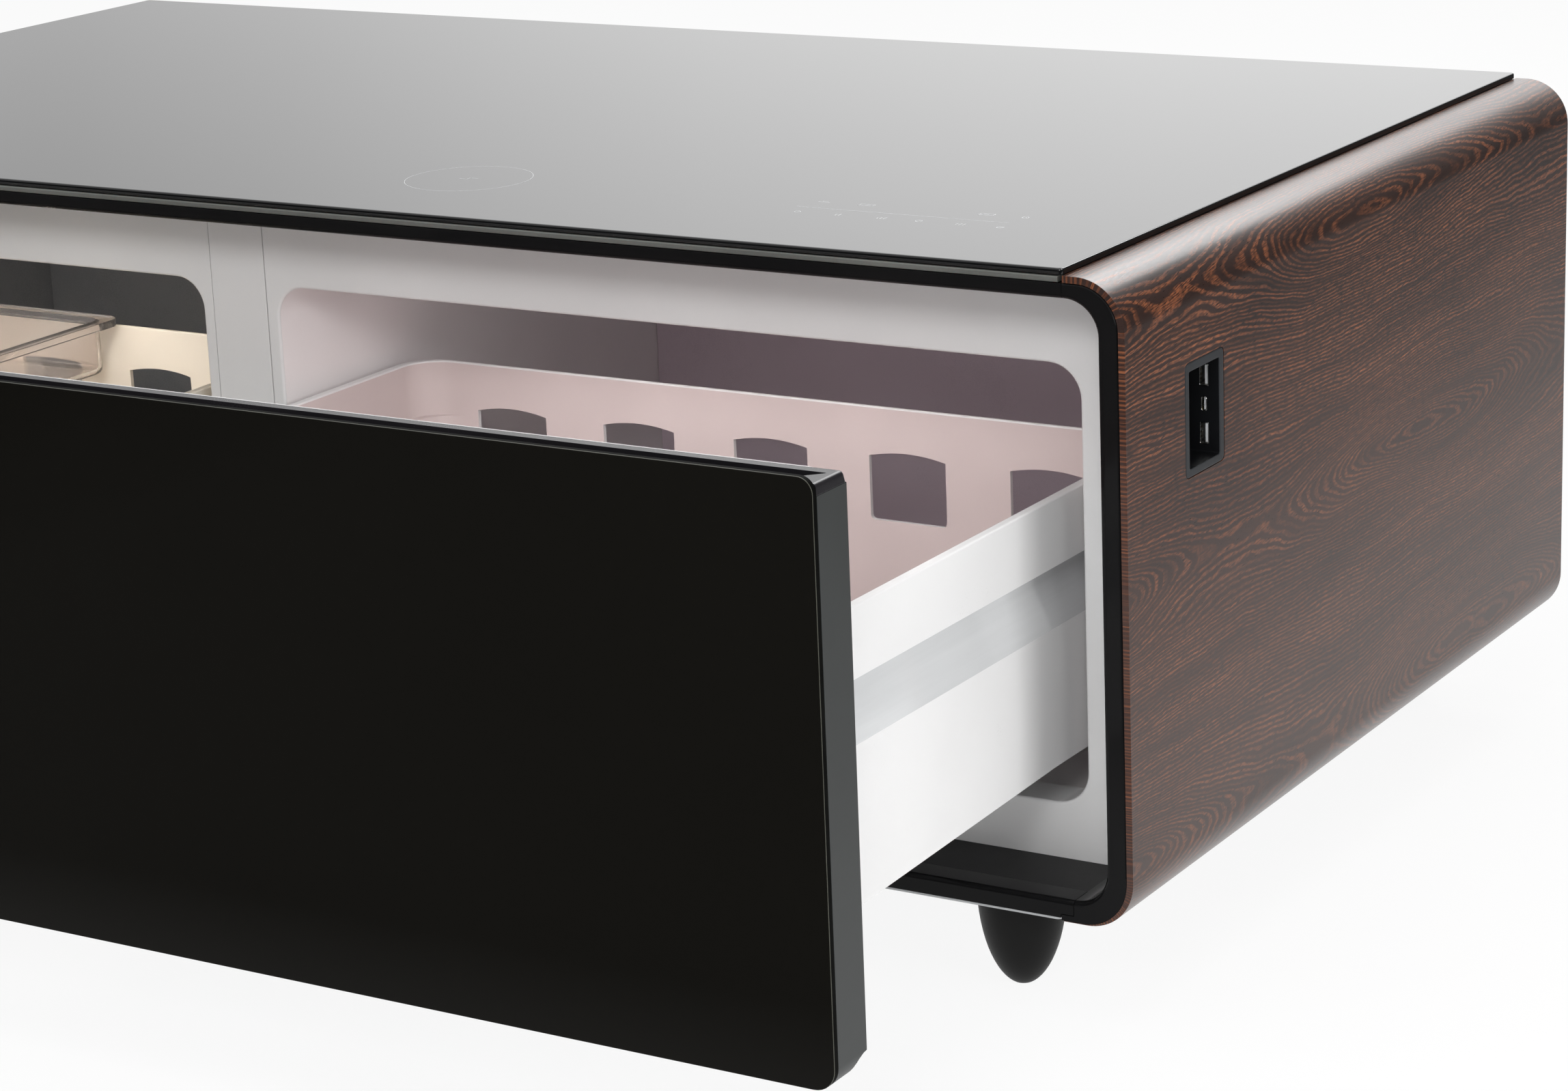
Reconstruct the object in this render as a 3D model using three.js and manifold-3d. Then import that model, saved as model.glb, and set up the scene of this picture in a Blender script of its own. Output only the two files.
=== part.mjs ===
// A coffee table with a refrigerated drawer, in millimetres, with +Z up.
// X runs along the table, the drawer faces -Y, and the drawer stands open.
import * as THREE from 'three';
import { mergeVertices } from 'three/addons/utils/BufferGeometryUtils.js';
import Module from 'manifold-3d';

const wasm = await Module();
wasm.setup();

// Overall sizes
const tableLength = 1300;
const cabinetDepth = 685;
const cabinetHeight = 383;
const drawerOpening = 302;
const seatGap = 0.3;
const cutOverrun = 5;
const mergeTolerance = 0.0001;
const arcSteps = 6;
const rodSteps = 20;

// Wood side panels, bent round the corners
const panelThickness = 4;
const cornerRadius = 30;
const panelReach = 38;
const panelLowReach = 45;

// Black front ring and its recess
const ringSideWidth = 12.9;
const ringRailHeight = 9;
const ringInnerRadius = 21;
const ringDepth = 64;
const ringSeamInset = 38.5;
const lightDepth = 8;
const lightInset = 41;

// Glass top and the tray under it
const glassThickness = 4;
const glassFrontInset = 1;
const glassCornerRadius = 3;
const topTrayHeight = 11.7;
const topTrayBackInset = 4.3;

// Base plate and feet
const baseThickness = 1.5;
const baseInset = 47;
const baseEndInset = 1;
const footHeight = 62;
const footRadius = 27;
const footTipRadius = 6;
const footSideInset = 96.5;
const footEndInset = 45;
const footSteps = 7;
const footSides = 24;

// Cold compartments
const mullionCentre = -25;
const mullionWidth = 62.6;
const mullionCoverWidth = 45;
const openingSideInset = 61.1;
const openingLowInset = 33.7;
const openingTopInset = 54.1;
const openingRadius = 21;
const linerWall = 2.5;
const flangeTuck = 3;
const mouthDepth = 27;
const floorDrop = 6;
const floorRadius = 5;
const foamBackThickness = 23.5;
const evaporatorRoom = 19;

// Evaporators, their covers and the lamps
const coverGap = 4;
const coverThickness = 2;
const coverVentLength = 40;
const coverVentWidth = 6;
const coverVentPitch = 62;
const coverVentDrop = 40;
const evaporatorSideGap = 60;
const evaporatorRise = 39;
const evaporatorDrop = 36;
const finSlotWidth = 8;
const finSlotPitch = 32;
const finRoot = 5;
const lampSideGap = 120;
const lampDepth = 16;
const lampHeight = 3.7;
const lampSetback = 36;

// Drawer front
const doorSideGap = 3.5;
const doorBottomGap = 3.2;
const handGap = 25;
const doorGlassThickness = 4;
const doorFrameDepth = 29;
const doorTopRadius = 9;
const doorLowRadius = 13;
const doorCapDrop = 3.8;
const doorCapRadius = 2.5;
const grooveEndInset = 14;
const grooveFrontWall = 3;
const grooveWidth = 16.6;
const grooveDepth = 18.2;
const doorCoveRadius = 12;
const doorInnerInset = 21;
const doorInnerTopInset = 11;
const doorInnerRadius = 15;
const gasketThickness = 5.7;
const gasketOuterMargin = 14;
const gasketInnerMargin = 4;

// Bins
const binSideGap = 9.3;
const binTopRoom = 75.9;
const binWall = 3;
const binFloor = 3.5;
const binRimWidth = 6;
const binDoubleWall = 13;
const binLedgeThickness = 3;
const bandHeight = 39.5;
const channelHeight = 38;
const channelInset = 10;
const lowerPanelInset = 2;
const binBottomRadius = 2;
const binCornerRadius = 24;
const slotPitch = 101.6;
const slotLength = 55.5;
const slotHeight = 45.5;
const slotDrop = 29.2;
const slotCrown = 3.4;
const rightSlotShift = -2.8;
const leftSlotShift = 8;

// Telescopic slides under the bins
const slideRoom = 29;
const slideInset = 82;
const slideWidth = 30;
const slideWall = 2;
const slideClearance = 0.5;
const slideChannelHeight = 16;
const slideParting = 4.4;
const slideFlange = 8;
const slideWeb = 8;
const slideChannelSetback = 1.7;
const slideChannelEndGap = 3;
const slideBeamSetback = 5;
const slideCapSetback = 12;
const slideCapEndGap = 22;

// Clear sliding tray on the left bin
const traySetIn = 83.6;
const trayBodyLength = 242;
const trayLip = 8.5;
const trayLipThickness = 5.5;
const trayWall = 2.5;
const trayHeight = 39.5;
const trayCornerRadius = 12;
const trayLipSetback = 0.6;

// Charging module in the right side panel
const moduleSetback = 11.5;
const moduleWidth = 51.6;
const moduleDrop = 64.3;
const moduleHeight = 67.7;
const moduleRadius = 4;
const moduleBody = 26;
const moduleBezelFront = 5.5;
const moduleBezelLow = 4.8;
const modulePocketWidth = 40;
const modulePocketHeight = 57.5;
const moduleFloor = 3;
const moduleBodyLength = 66;
const portInset = 10;
const portPitch = 17.4;
const portLength = 14;
const portWall = 0.6;
const tongueLength = 10;
const usbALong = 13.1;
const usbAShort = 5.7;
const usbATongue = 1.8;
const usbCLong = 9;
const usbCShort = 3.6;
const usbCTongue = 0.8;

// Electronics under the glass
const coilSpacing = 319;
const coilSetback = 43;
const coilRadius = 38;
const coilHoleRadius = 9;
const coilThickness = 4;
const touchInset = 197;
const touchSetback = 37.5;
const touchLength = 166;
const touchWidth = 44;
const touchThickness = 1.6;

// Machine room behind the cold compartments
const machineDepth = 128;
const backPanelThickness = 2;
const backPanelInset = 2;
const ventLength = 110;
const ventHeight = 6;
const ventPitch = 16;
const ventLow = 60;
const ventCount = 8;
const condenserShare = 0.262;
const condenserLength = 150;
const condenserDepth = 34;
const condenserHeight = 150;
const condenserRise = 10;
const condenserSetback = 3;
const condenserSlotWidth = 6;
const condenserSlotPitch = 13;
const condenserSlotCount = 10;
const condenserRailDepth = 8;
const shroudDepth = 30;
const shroudWall = 4;
const shroudBore = 60;
const shroudLip = 2;
const motorRadius = 18;
const motorDepth = 10;
const strutWidth = 5;
const rotorHubRadius = 16;
const rotorGap = 4;
const rotorDepth = 12;
const bladeCount = 7;
const bladeThickness = 1.5;
const bladeTilt = 0.6;
const bladeRoot = 2;
const compressorShare = 0.615;
const compressorGap = 10;
const compressorHeight = 150;
const compressorRise = 12;
const compressorPlateLength = 170;
const compressorPlateGap = 12;
const compressorPlateThickness = 3;
const bushingRadius = 9;
const bushingInset = 14;
const compressorDomeHeight = 24;
const drainShare = -0.062;
const drainLength = 180;
const drainGap = 19;
const drainHeight = 30;
const drainWall = 2;
const controlShare = -0.508;
const controlLength = 200;
const controlGap = 29;
const controlHeight = 60;
const inletInset = 110;
const inletZ = 70;
const inletLength = 28;
const inletHeight = 21;
const inletDepth = 18;
const inletWall = 2;
const inletRim = 4;
const inletRimThickness = 1.4;
const pinDrop = 4;
const pinSpread = 7;
const pinWidth = 2;
const pinHeight = 4;

// Places that follow from the sizes
const halfLength = tableLength / 2;
const panelInner = panelThickness + seatGap;
const recessHalf = halfLength - panelInner - ringSideWidth;
const recessLow = panelInner + ringRailHeight;
const railTop = cabinetHeight - panelInner;
const recessHigh = railTop - ringRailHeight;
const baseTop = baseThickness + seatGap;
const baseHalf = halfLength - baseInset;
const seamHalf = halfLength - ringSeamInset;
const shellHalf = halfLength - panelInner;
const shellRadius = cornerRadius - panelInner;
const topTrayTop = cabinetHeight - seatGap;
const topTrayLow = topTrayTop - topTrayHeight;
const openingLow = recessLow + openingLowInset;
const openingHigh = recessHigh - openingTopInset;
const flangeFront = ringDepth + seatGap;
const flangeBack = flangeFront + linerWall;
const floorLow = openingLow - floorDrop;
const foamFront = flangeBack + seatGap;
const backPanelFront = cabinetDepth - backPanelInset - backPanelThickness;
const foamBack = backPanelFront - machineDepth;
const linerBack = foamBack - foamBackThickness - linerWall;
const coverBack = linerBack - evaporatorRoom;
const coverFront = coverBack - coverThickness;
const binBack = coverFront - coverGap;
const binLow = openingLow + slideRoom;
const binHigh = openingHigh - binTopRoom;
const doorHalf = recessHalf - doorSideGap;
const doorLow = recessLow + doorBottomGap;
const doorHigh = recessHigh - handGap;
const doorFrameFront = doorGlassThickness + seatGap;
const doorFrameBack = doorFrameFront + doorFrameDepth;
const doorInnerFront = doorFrameBack + seatGap;
const drawerStart = ringDepth - gasketThickness;
const doorInnerBack = drawerStart - seatGap;
const machineFront = foamBack + seatGap;
const machineCentre = (machineFront + backPanelFront) / 2;
const condenserX = halfLength * condenserShare;
const compressorX = halfLength * compressorShare;
const drainX = halfLength * drainShare;
const controlX = halfLength * controlShare;
const inletX = inletInset - halfLength;
const touchX = halfLength - touchInset;
const coilX = touchX - coilSpacing;
const moduleFront = ringDepth + moduleSetback;
const moduleLow = cabinetHeight - moduleDrop - moduleHeight;
const modulePocketFront = moduleFront + moduleBezelFront;
const modulePocketLow = moduleLow + moduleBezelLow;
const quarter = Math.PI / 2;

const compartments = [
  {
    name: 'right',
    low: mullionCentre + mullionWidth / 2,
    high: halfLength - openingSideInset,
    seam: mullionCentre + mullionCoverWidth / 2 + seatGap / 2,
    side: 1,
    slotShift: rightSlotShift,
  },
  {
    name: 'left',
    low: openingSideInset - halfLength,
    high: mullionCentre - mullionWidth / 2,
    seam: mullionCentre - mullionCoverWidth / 2 - seatGap / 2,
    side: -1,
    slotShift: leftSlotShift,
  },
];

// Materials
function makeMaterial(color, roughness, metalness) {
  return new THREE.MeshStandardMaterial({ color, roughness, metalness });
}

const darkWood = makeMaterial(0x3a2117, 0.35, 0);
const blackGloss = makeMaterial(0x0c0c0d, 0.12, 0);
const blackGlass = makeMaterial(0x101112, 0.05, 0);
const charcoal = makeMaterial(0x35373a, 0.5, 0);
const whitePlastic = makeMaterial(0xe2e4e6, 0.35, 0);
const creamPlastic = makeMaterial(0xe6dfd2, 0.35, 0);
const foam = makeMaterial(0xe8d9a8, 0.9, 0);
const diffuser = makeMaterial(0xb9bcbd, 0.5, 0);
const clearPlastic = makeMaterial(0xd9d3cc, 0.08, 0);
const blackRubber = makeMaterial(0x151515, 0.6, 0);
const greyRubber = makeMaterial(0xb8babc, 0.7, 0);
const zincSteel = makeMaterial(0xb4b8bb, 0.35, 1);
const paintedSteel = makeMaterial(0xbfc3c7, 0.4, 0.3);
const darkSteel = makeMaterial(0x47494c, 0.4, 0.5);
const aluminium = makeMaterial(0xc4c7ca, 0.35, 1);
const copper = makeMaterial(0xb06a3c, 0.35, 1);
const boardGreen = makeMaterial(0x1f4a33, 0.5, 0);

// Outlines are lists of points, and arcs are worked out
function arc(centreX, centreY, radius, from, to) {
  const points = [];
  for (let step = 0; step <= arcSteps; step += 1) {
    const angle = from + ((to - from) * step) / arcSteps;
    points.push([centreX + radius * Math.cos(angle), centreY + radius * Math.sin(angle)]);
  }
  return points;
}

function roundedOutline(left, right, bottom, top, radius, lowRadius = radius) {
  return [
    ...arc(right - lowRadius, bottom + lowRadius, lowRadius, -quarter, 0),
    ...arc(right - radius, top - radius, radius, 0, quarter),
    ...arc(left + radius, top - radius, radius, quarter, 2 * quarter),
    ...arc(left + lowRadius, bottom + lowRadius, lowRadius, 2 * quarter, 3 * quarter),
  ];
}

function mirrored(points, side) {
  return points.map(([across, up]) => [side * across, up]);
}

function placesAlong(centre, span, length, pitch) {
  const count = Math.floor((span - length) / pitch) + 1;
  const places = [];
  for (let index = 0; index < count; index += 1) {
    places.push(centre + (index - (count - 1) / 2) * pitch);
  }
  return places;
}

function shapeOf(points, hole) {
  const shape = new THREE.Shape(points.map(([across, up]) => new THREE.Vector2(across, up)));
  if (hole) {
    shape.holes.push(new THREE.Path(hole.map(([across, up]) => new THREE.Vector2(across, up))));
  }
  return shape;
}

// Prisms along each axis
function extrude(points, depth, hole) {
  return new THREE.ExtrudeGeometry(shapeOf(points, hole), { depth, bevelEnabled: false, steps: 1 });
}

function alongZ(points, low, high, hole) {
  return extrude(points, high - low, hole).translate(0, 0, low);
}

function alongY(points, front, back, hole) {
  const turn = new THREE.Matrix4().makeBasis(
    new THREE.Vector3(1, 0, 0),
    new THREE.Vector3(0, 0, 1),
    new THREE.Vector3(0, -1, 0),
  );
  return extrude(points, back - front, hole).applyMatrix4(turn).translate(0, back, 0);
}

function alongX(points, left, right) {
  const turn = new THREE.Matrix4().makeBasis(
    new THREE.Vector3(0, 1, 0),
    new THREE.Vector3(0, 0, 1),
    new THREE.Vector3(1, 0, 0),
  );
  return extrude(points, right - left).applyMatrix4(turn).translate(left, 0, 0);
}

function block(left, right, front, back, low, high) {
  const geometry = new THREE.BoxGeometry(Math.abs(right - left), back - front, high - low);
  return geometry.translate((left + right) / 2, (front + back) / 2, (low + high) / 2);
}

function rodZ(centreX, centreY, radius, low, high) {
  const geometry = new THREE.CylinderGeometry(radius, radius, high - low, rodSteps);
  return geometry.rotateX(quarter).translate(centreX, centreY, (low + high) / 2);
}

function rodY(centreX, centreZ, radius, front, back) {
  const geometry = new THREE.CylinderGeometry(radius, radius, back - front, rodSteps);
  return geometry.translate(centreX, (front + back) / 2, centreZ);
}

// Joins and cuts
function toSolid(geometry) {
  const bare = geometry.clone();
  bare.deleteAttribute('normal');
  bare.deleteAttribute('uv');
  const merged = mergeVertices(bare, mergeTolerance);
  return new wasm.Manifold(new wasm.Mesh({
    numProp: 3,
    vertProperties: new Float32Array(merged.attributes.position.array),
    triVerts: new Uint32Array(merged.index.array),
  }));
}

function toGeometry(solid) {
  const mesh = solid.getMesh();
  const geometry = new THREE.BufferGeometry();
  geometry.setAttribute('position', new THREE.BufferAttribute(mesh.vertProperties, 3));
  geometry.setIndex(new THREE.BufferAttribute(mesh.triVerts, 1));
  geometry.computeVertexNormals();
  return geometry;
}

function join(first, ...others) {
  return toGeometry(others.reduce((sum, other) => sum.add(toSolid(other)), toSolid(first)));
}

function cut(first, ...tools) {
  return toGeometry(tools.reduce((rest, tool) => rest.subtract(toSolid(tool)), toSolid(first)));
}

function overlapOf(first, second) {
  return toGeometry(toSolid(first).intersect(toSolid(second)));
}

function place(parent, name, geometry, material) {
  const mesh = new THREE.Mesh(geometry, material);
  mesh.name = name;
  parent.add(mesh);
  return mesh;
}

// The wood panels and the ring's side pieces are the same bent strip at two sizes
function sideStrip(outer, radius, sideWall, railWall, innerRadius, reach, lowReach) {
  const edge = halfLength - outer;
  const top = cabinetHeight - outer;
  const end = halfLength - reach;
  const lowEnd = halfLength - lowReach;
  const innerEdge = edge - sideWall;
  const innerTop = top - railWall;
  const innerLow = outer + railWall;
  return [
    [lowEnd, outer],
    ...arc(edge - radius, outer + radius, radius, -quarter, 0),
    ...arc(edge - radius, top - radius, radius, 0, quarter),
    [end, top],
    [end, innerTop],
    ...arc(innerEdge - innerRadius, innerTop - innerRadius, innerRadius, quarter, 0),
    ...arc(innerEdge - innerRadius, innerLow + innerRadius, innerRadius, 0, -quarter),
    [lowEnd, innerLow],
  ];
}

function sidePanel(side) {
  const inner = cornerRadius - panelThickness;
  const outline = sideStrip(
    0,
    cornerRadius,
    panelThickness,
    panelThickness,
    inner,
    panelReach,
    panelLowReach,
  );
  const panel = alongY(mirrored(outline, side), 0, cabinetDepth);
  if (side < 0) {
    return panel;
  }
  const hole = block(
    halfLength - panelThickness - cutOverrun,
    halfLength + cutOverrun,
    moduleFront - seatGap,
    moduleFront + moduleWidth + seatGap,
    moduleLow - seatGap,
    moduleLow + moduleHeight + seatGap,
  );
  return cut(panel, hole);
}

function ringSide(side) {
  const reach = ringSeamInset - seatGap / 2;
  const outline = sideStrip(
    panelInner,
    shellRadius,
    ringSideWidth,
    ringRailHeight,
    ringInnerRadius,
    reach,
    reach,
  );
  return alongY(mirrored(outline, side), 0, ringDepth);
}

function ringTopRail() {
  const half = seamHalf - seatGap / 2;
  const step = lightDepth + seatGap;
  const outline = [
    [0, recessHigh],
    [ringDepth, recessHigh],
    [ringDepth, topTrayTop],
    [step, topTrayTop],
    [step, railTop],
    [0, railTop],
  ];
  return alongX(outline, -half, half);
}

function ringBottomRail() {
  const half = seamHalf - seatGap / 2;
  const outline = [
    [-baseHalf, baseTop],
    [baseHalf, baseTop],
    [baseHalf, panelInner],
    [half, panelInner],
    [half, recessLow],
    [-half, recessLow],
    [-half, panelInner],
    [-baseHalf, panelInner],
  ];
  return alongY(outline, 0, ringDepth);
}

function lightStrip() {
  const half = halfLength - lightInset;
  return block(-half, half, 0, lightDepth, railTop + seatGap, topTrayTop);
}

// Glass top, and the tray that carries it and the electronics
function glassTop() {
  const half = halfLength - panelReach - seatGap;
  const back = cabinetDepth - glassFrontInset;
  const outline = roundedOutline(-half, half, glassFrontInset, back, glassCornerRadius);
  return alongZ(outline, cabinetHeight, cabinetHeight + glassThickness);
}

const coilY = flangeFront + coilSetback;
const touchY = flangeFront + touchSetback;

function topTray() {
  const half = seamHalf - seatGap / 2;
  const body = block(
    -half,
    half,
    foamFront,
    cabinetDepth - topTrayBackInset,
    topTrayLow,
    topTrayTop,
  );
  const coilPocket = rodZ(
    coilX,
    coilY,
    coilRadius + seatGap,
    topTrayTop - coilThickness - seatGap,
    topTrayTop + cutOverrun,
  );
  const touchPocket = block(
    touchX - touchLength / 2 - seatGap,
    touchX + touchLength / 2 + seatGap,
    touchY - touchWidth / 2 - seatGap,
    touchY + touchWidth / 2 + seatGap,
    topTrayTop - touchThickness - seatGap,
    topTrayTop + cutOverrun,
  );
  return cut(body, coilPocket, touchPocket);
}

function chargerCoil() {
  const body = rodZ(coilX, coilY, coilRadius, topTrayTop - coilThickness, topTrayTop);
  const low = topTrayTop - coilThickness - cutOverrun;
  return cut(body, rodZ(coilX, coilY, coilHoleRadius, low, topTrayTop + cutOverrun));
}

function touchBoard() {
  return block(
    touchX - touchLength / 2,
    touchX + touchLength / 2,
    touchY - touchWidth / 2,
    touchY + touchWidth / 2,
    topTrayTop - touchThickness,
    topTrayTop,
  );
}

// The outline of everything that stands inside the wood panels
function shellOutline(top) {
  const flat = shellHalf - shellRadius;
  return [
    [-baseHalf, baseTop],
    [baseHalf, baseTop],
    [baseHalf, panelInner],
    ...arc(flat, panelInner + shellRadius, shellRadius, -quarter, 0),
    ...arc(flat, top - shellRadius, shellRadius, 0, quarter),
    ...arc(-flat, top - shellRadius, shellRadius, quarter, 2 * quarter),
    ...arc(-flat, panelInner + shellRadius, shellRadius, 2 * quarter, 3 * quarter),
    [-baseHalf, panelInner],
  ];
}

function linerBody(room, grow) {
  const outline = roundedOutline(
    room.low - linerWall - grow,
    room.high + linerWall + grow,
    floorLow - linerWall - grow,
    openingHigh + linerWall + grow,
    openingRadius + linerWall + grow,
    floorRadius + linerWall + grow,
  );
  return alongY(outline, flangeFront, linerBack + linerWall + grow);
}

function liner(room) {
  const outerEdge = room.side * (recessHalf + flangeTuck);
  const left = Math.min(room.seam, outerEdge);
  const right = Math.max(room.seam, outerEdge);
  const flange = block(
    left,
    right,
    flangeFront,
    flangeBack,
    recessLow - flangeTuck,
    recessHigh + flangeTuck,
  );
  const mouth = alongY(
    roundedOutline(room.low, room.high, openingLow, openingHigh, openingRadius),
    flangeFront - cutOverrun,
    linerBack,
  );
  const floor = alongY(
    roundedOutline(room.low, room.high, floorLow, openingHigh - openingRadius, floorRadius),
    flangeFront + mouthDepth,
    linerBack,
  );
  return cut(join(flange, linerBody(room, 0)), mouth, floor);
}

function mullionCover() {
  const half = mullionCoverWidth / 2 - seatGap / 2;
  return block(
    mullionCentre - half,
    mullionCentre + half,
    flangeFront,
    flangeBack,
    recessLow - flangeTuck,
    recessHigh + flangeTuck,
  );
}

const moduleDepth = moduleBody + moduleFloor;

function insulation() {
  const body = alongY(shellOutline(topTrayLow - seatGap), foamFront, foamBack);
  const rooms = compartments.map((room) => linerBody(room, seatGap));
  const moduleRoom = block(
    halfLength - moduleDepth - seatGap,
    shellHalf + cutOverrun,
    moduleFront - seatGap,
    moduleFront + moduleBodyLength + seatGap,
    moduleLow - seatGap,
    moduleLow + moduleHeight + seatGap,
  );
  return cut(body, ...rooms, moduleRoom);
}

// Cold plate, fins and lamp of one compartment
function evaporatorCover(room) {
  const outline = roundedOutline(
    room.low + seatGap,
    room.high - seatGap,
    floorLow + seatGap,
    openingHigh - seatGap,
    openingRadius,
  );
  const centre = (room.low + room.high) / 2;
  const span = room.high - room.low - 2 * openingRadius;
  const vents = placesAlong(centre, span, coverVentLength, coverVentPitch).map((middle) => block(
    middle - coverVentLength / 2,
    middle + coverVentLength / 2,
    coverFront - cutOverrun,
    coverBack + cutOverrun,
    openingHigh - coverVentDrop - coverVentWidth,
    openingHigh - coverVentDrop,
  ));
  return cut(alongY(outline, coverFront, coverBack), ...vents);
}

function evaporator(room) {
  const centre = (room.low + room.high) / 2;
  const front = coverBack + seatGap;
  const back = linerBack - seatGap;
  const low = floorLow + evaporatorRise;
  const high = openingHigh - evaporatorDrop;
  const body = block(
    room.low + evaporatorSideGap,
    room.high - evaporatorSideGap,
    front,
    back,
    low,
    high,
  );
  const span = room.high - room.low - 2 * evaporatorSideGap - finSlotPitch;
  const slots = placesAlong(centre, span, finSlotWidth, finSlotPitch).map((middle) => block(
    middle - finSlotWidth / 2,
    middle + finSlotWidth / 2,
    front - cutOverrun,
    back - finRoot,
    low - cutOverrun,
    high + cutOverrun,
  ));
  return cut(body, ...slots);
}

function lamp(room) {
  const front = flangeFront + lampSetback;
  const top = openingHigh - seatGap;
  return block(
    room.low + lampSideGap,
    room.high - lampSideGap,
    front,
    front + lampDepth,
    top - lampHeight,
    top,
  );
}

// Base plate and feet
function basePlate() {
  return block(-baseHalf, baseHalf, baseEndInset, cabinetDepth - baseEndInset, 0, baseThickness);
}

function foot() {
  const fullHeight = footHeight / Math.sqrt(1 - (footTipRadius / footRadius) ** 2);
  const profile = [new THREE.Vector2(0, -seatGap)];
  for (let step = 0; step <= footSteps; step += 1) {
    const drop = seatGap + ((footHeight - seatGap) * step) / footSteps;
    const radius = footRadius * Math.sqrt(1 - (drop / fullHeight) ** 2);
    profile.push(new THREE.Vector2(radius, -drop));
  }
  profile.push(new THREE.Vector2(0, -footHeight));
  return new THREE.LatheGeometry(profile.reverse(), footSides).rotateX(quarter);
}

// Charging module: a pocket in the side, with ports that face the front
const moduleBack = halfLength - moduleDepth;
const portFront = modulePocketFront + modulePocketWidth;
const portMiddle = modulePocketLow + modulePocketHeight / 2;
const portX = halfLength - portInset;

function chargingModule() {
  const top = moduleLow + moduleHeight;
  const bezel = alongX(
    roundedOutline(moduleFront, moduleFront + moduleWidth, moduleLow, top, moduleRadius),
    shellHalf - cutOverrun,
    halfLength,
  );
  const body = block(
    moduleBack,
    shellHalf,
    moduleFront,
    moduleFront + moduleBodyLength,
    moduleLow,
    top,
  );
  const pocket = block(
    halfLength - moduleBody,
    halfLength + cutOverrun,
    modulePocketFront,
    portFront,
    modulePocketLow,
    modulePocketLow + modulePocketHeight,
  );
  const holes = [
    portHole(portPitch, usbAShort, usbALong),
    portHole(0, usbCShort, usbCLong),
    portHole(-portPitch, usbAShort, usbALong),
  ];
  return cut(join(body, bezel), pocket, ...holes);
}

function portHole(rise, across, tall) {
  return block(
    portX - across / 2 - seatGap,
    portX + across / 2 + seatGap,
    portFront - cutOverrun,
    portFront + portLength + seatGap,
    portMiddle + rise - tall / 2 - seatGap,
    portMiddle + rise + tall / 2 + seatGap,
  );
}

function port(rise, across, tall, tongue) {
  const middle = portMiddle + rise;
  const back = portFront + portLength;
  const shell = block(
    portX - across / 2,
    portX + across / 2,
    portFront,
    back,
    middle - tall / 2,
    middle + tall / 2,
  );
  const hollow = block(
    portX - across / 2 + portWall,
    portX + across / 2 - portWall,
    portFront - cutOverrun,
    back - portWall,
    middle - tall / 2 + portWall,
    middle + tall / 2 - portWall,
  );
  const blade = block(
    portX - tongue / 2,
    portX + tongue / 2,
    back - portWall - tongueLength,
    back - portWall / 2,
    middle - tall / 2 + 2 * portWall,
    middle + tall / 2 - 2 * portWall,
  );
  return join(cut(shell, hollow), blade);
}

// Machine room
function backPanel() {
  const back = backPanelFront + backPanelThickness;
  const cuts = [];
  for (const centre of [condenserX, compressorX]) {
    for (let row = 0; row < ventCount; row += 1) {
      const low = ventLow + row * ventPitch;
      cuts.push(block(
        centre - ventLength / 2,
        centre + ventLength / 2,
        backPanelFront - cutOverrun,
        back + cutOverrun,
        low,
        low + ventHeight,
      ));
    }
  }
  cuts.push(block(
    inletX - inletLength / 2 - seatGap,
    inletX + inletLength / 2 + seatGap,
    backPanelFront - cutOverrun,
    back + cutOverrun,
    inletZ - inletHeight / 2 - seatGap,
    inletZ + inletHeight / 2 + seatGap,
  ));
  return cut(alongY(shellOutline(railTop), backPanelFront, back), ...cuts);
}

function powerInlet() {
  const panelBack = backPanelFront + backPanelThickness;
  const rimFront = panelBack + seatGap;
  const rimBack = rimFront + inletRimThickness;
  const front = rimBack - inletDepth;
  const halfX = inletLength / 2;
  const halfZ = inletHeight / 2;
  const body = block(
    inletX - halfX,
    inletX + halfX,
    front,
    rimBack,
    inletZ - halfZ,
    inletZ + halfZ,
  );
  const rim = block(
    inletX - halfX - inletRim,
    inletX + halfX + inletRim,
    rimFront,
    rimBack,
    inletZ - halfZ - inletRim,
    inletZ + halfZ + inletRim,
  );
  const hollow = block(
    inletX - halfX + inletWall,
    inletX + halfX - inletWall,
    front + inletWall,
    rimBack + cutOverrun,
    inletZ - halfZ + inletWall,
    inletZ + halfZ - inletWall,
  );
  const pins = [-1, 0, 1].map((column) => block(
    inletX + column * pinSpread - pinWidth / 2,
    inletX + column * pinSpread + pinWidth / 2,
    front + inletWall / 2,
    rimFront,
    inletZ - pinDrop - pinHeight / 2,
    inletZ - pinDrop + pinHeight / 2,
  ));
  return join(cut(join(body, rim), hollow), ...pins);
}

const condenserFront = machineFront + condenserSetback;
const condenserBack = condenserFront + condenserDepth;
const condenserTop = baseTop + condenserRise + condenserHeight;
const fanZ = baseTop + condenserRise + condenserHeight / 2;
const shroudFront = condenserBack + seatGap;
const shroudBack = shroudFront + shroudDepth;

function condenser() {
  const body = block(
    condenserX - condenserLength / 2,
    condenserX + condenserLength / 2,
    condenserFront,
    condenserBack,
    baseTop,
    condenserTop,
  );
  const low = baseTop + condenserRise;
  const slots = [];
  for (let index = 0; index < condenserSlotCount; index += 1) {
    const middle = condenserX + (index - (condenserSlotCount - 1) / 2) * condenserSlotPitch;
    slots.push(block(
      middle - condenserSlotWidth / 2,
      middle + condenserSlotWidth / 2,
      condenserFront - cutOverrun,
      condenserBack + cutOverrun,
      low,
      condenserTop - condenserRailDepth,
    ));
  }
  return cut(body, ...slots);
}

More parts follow.
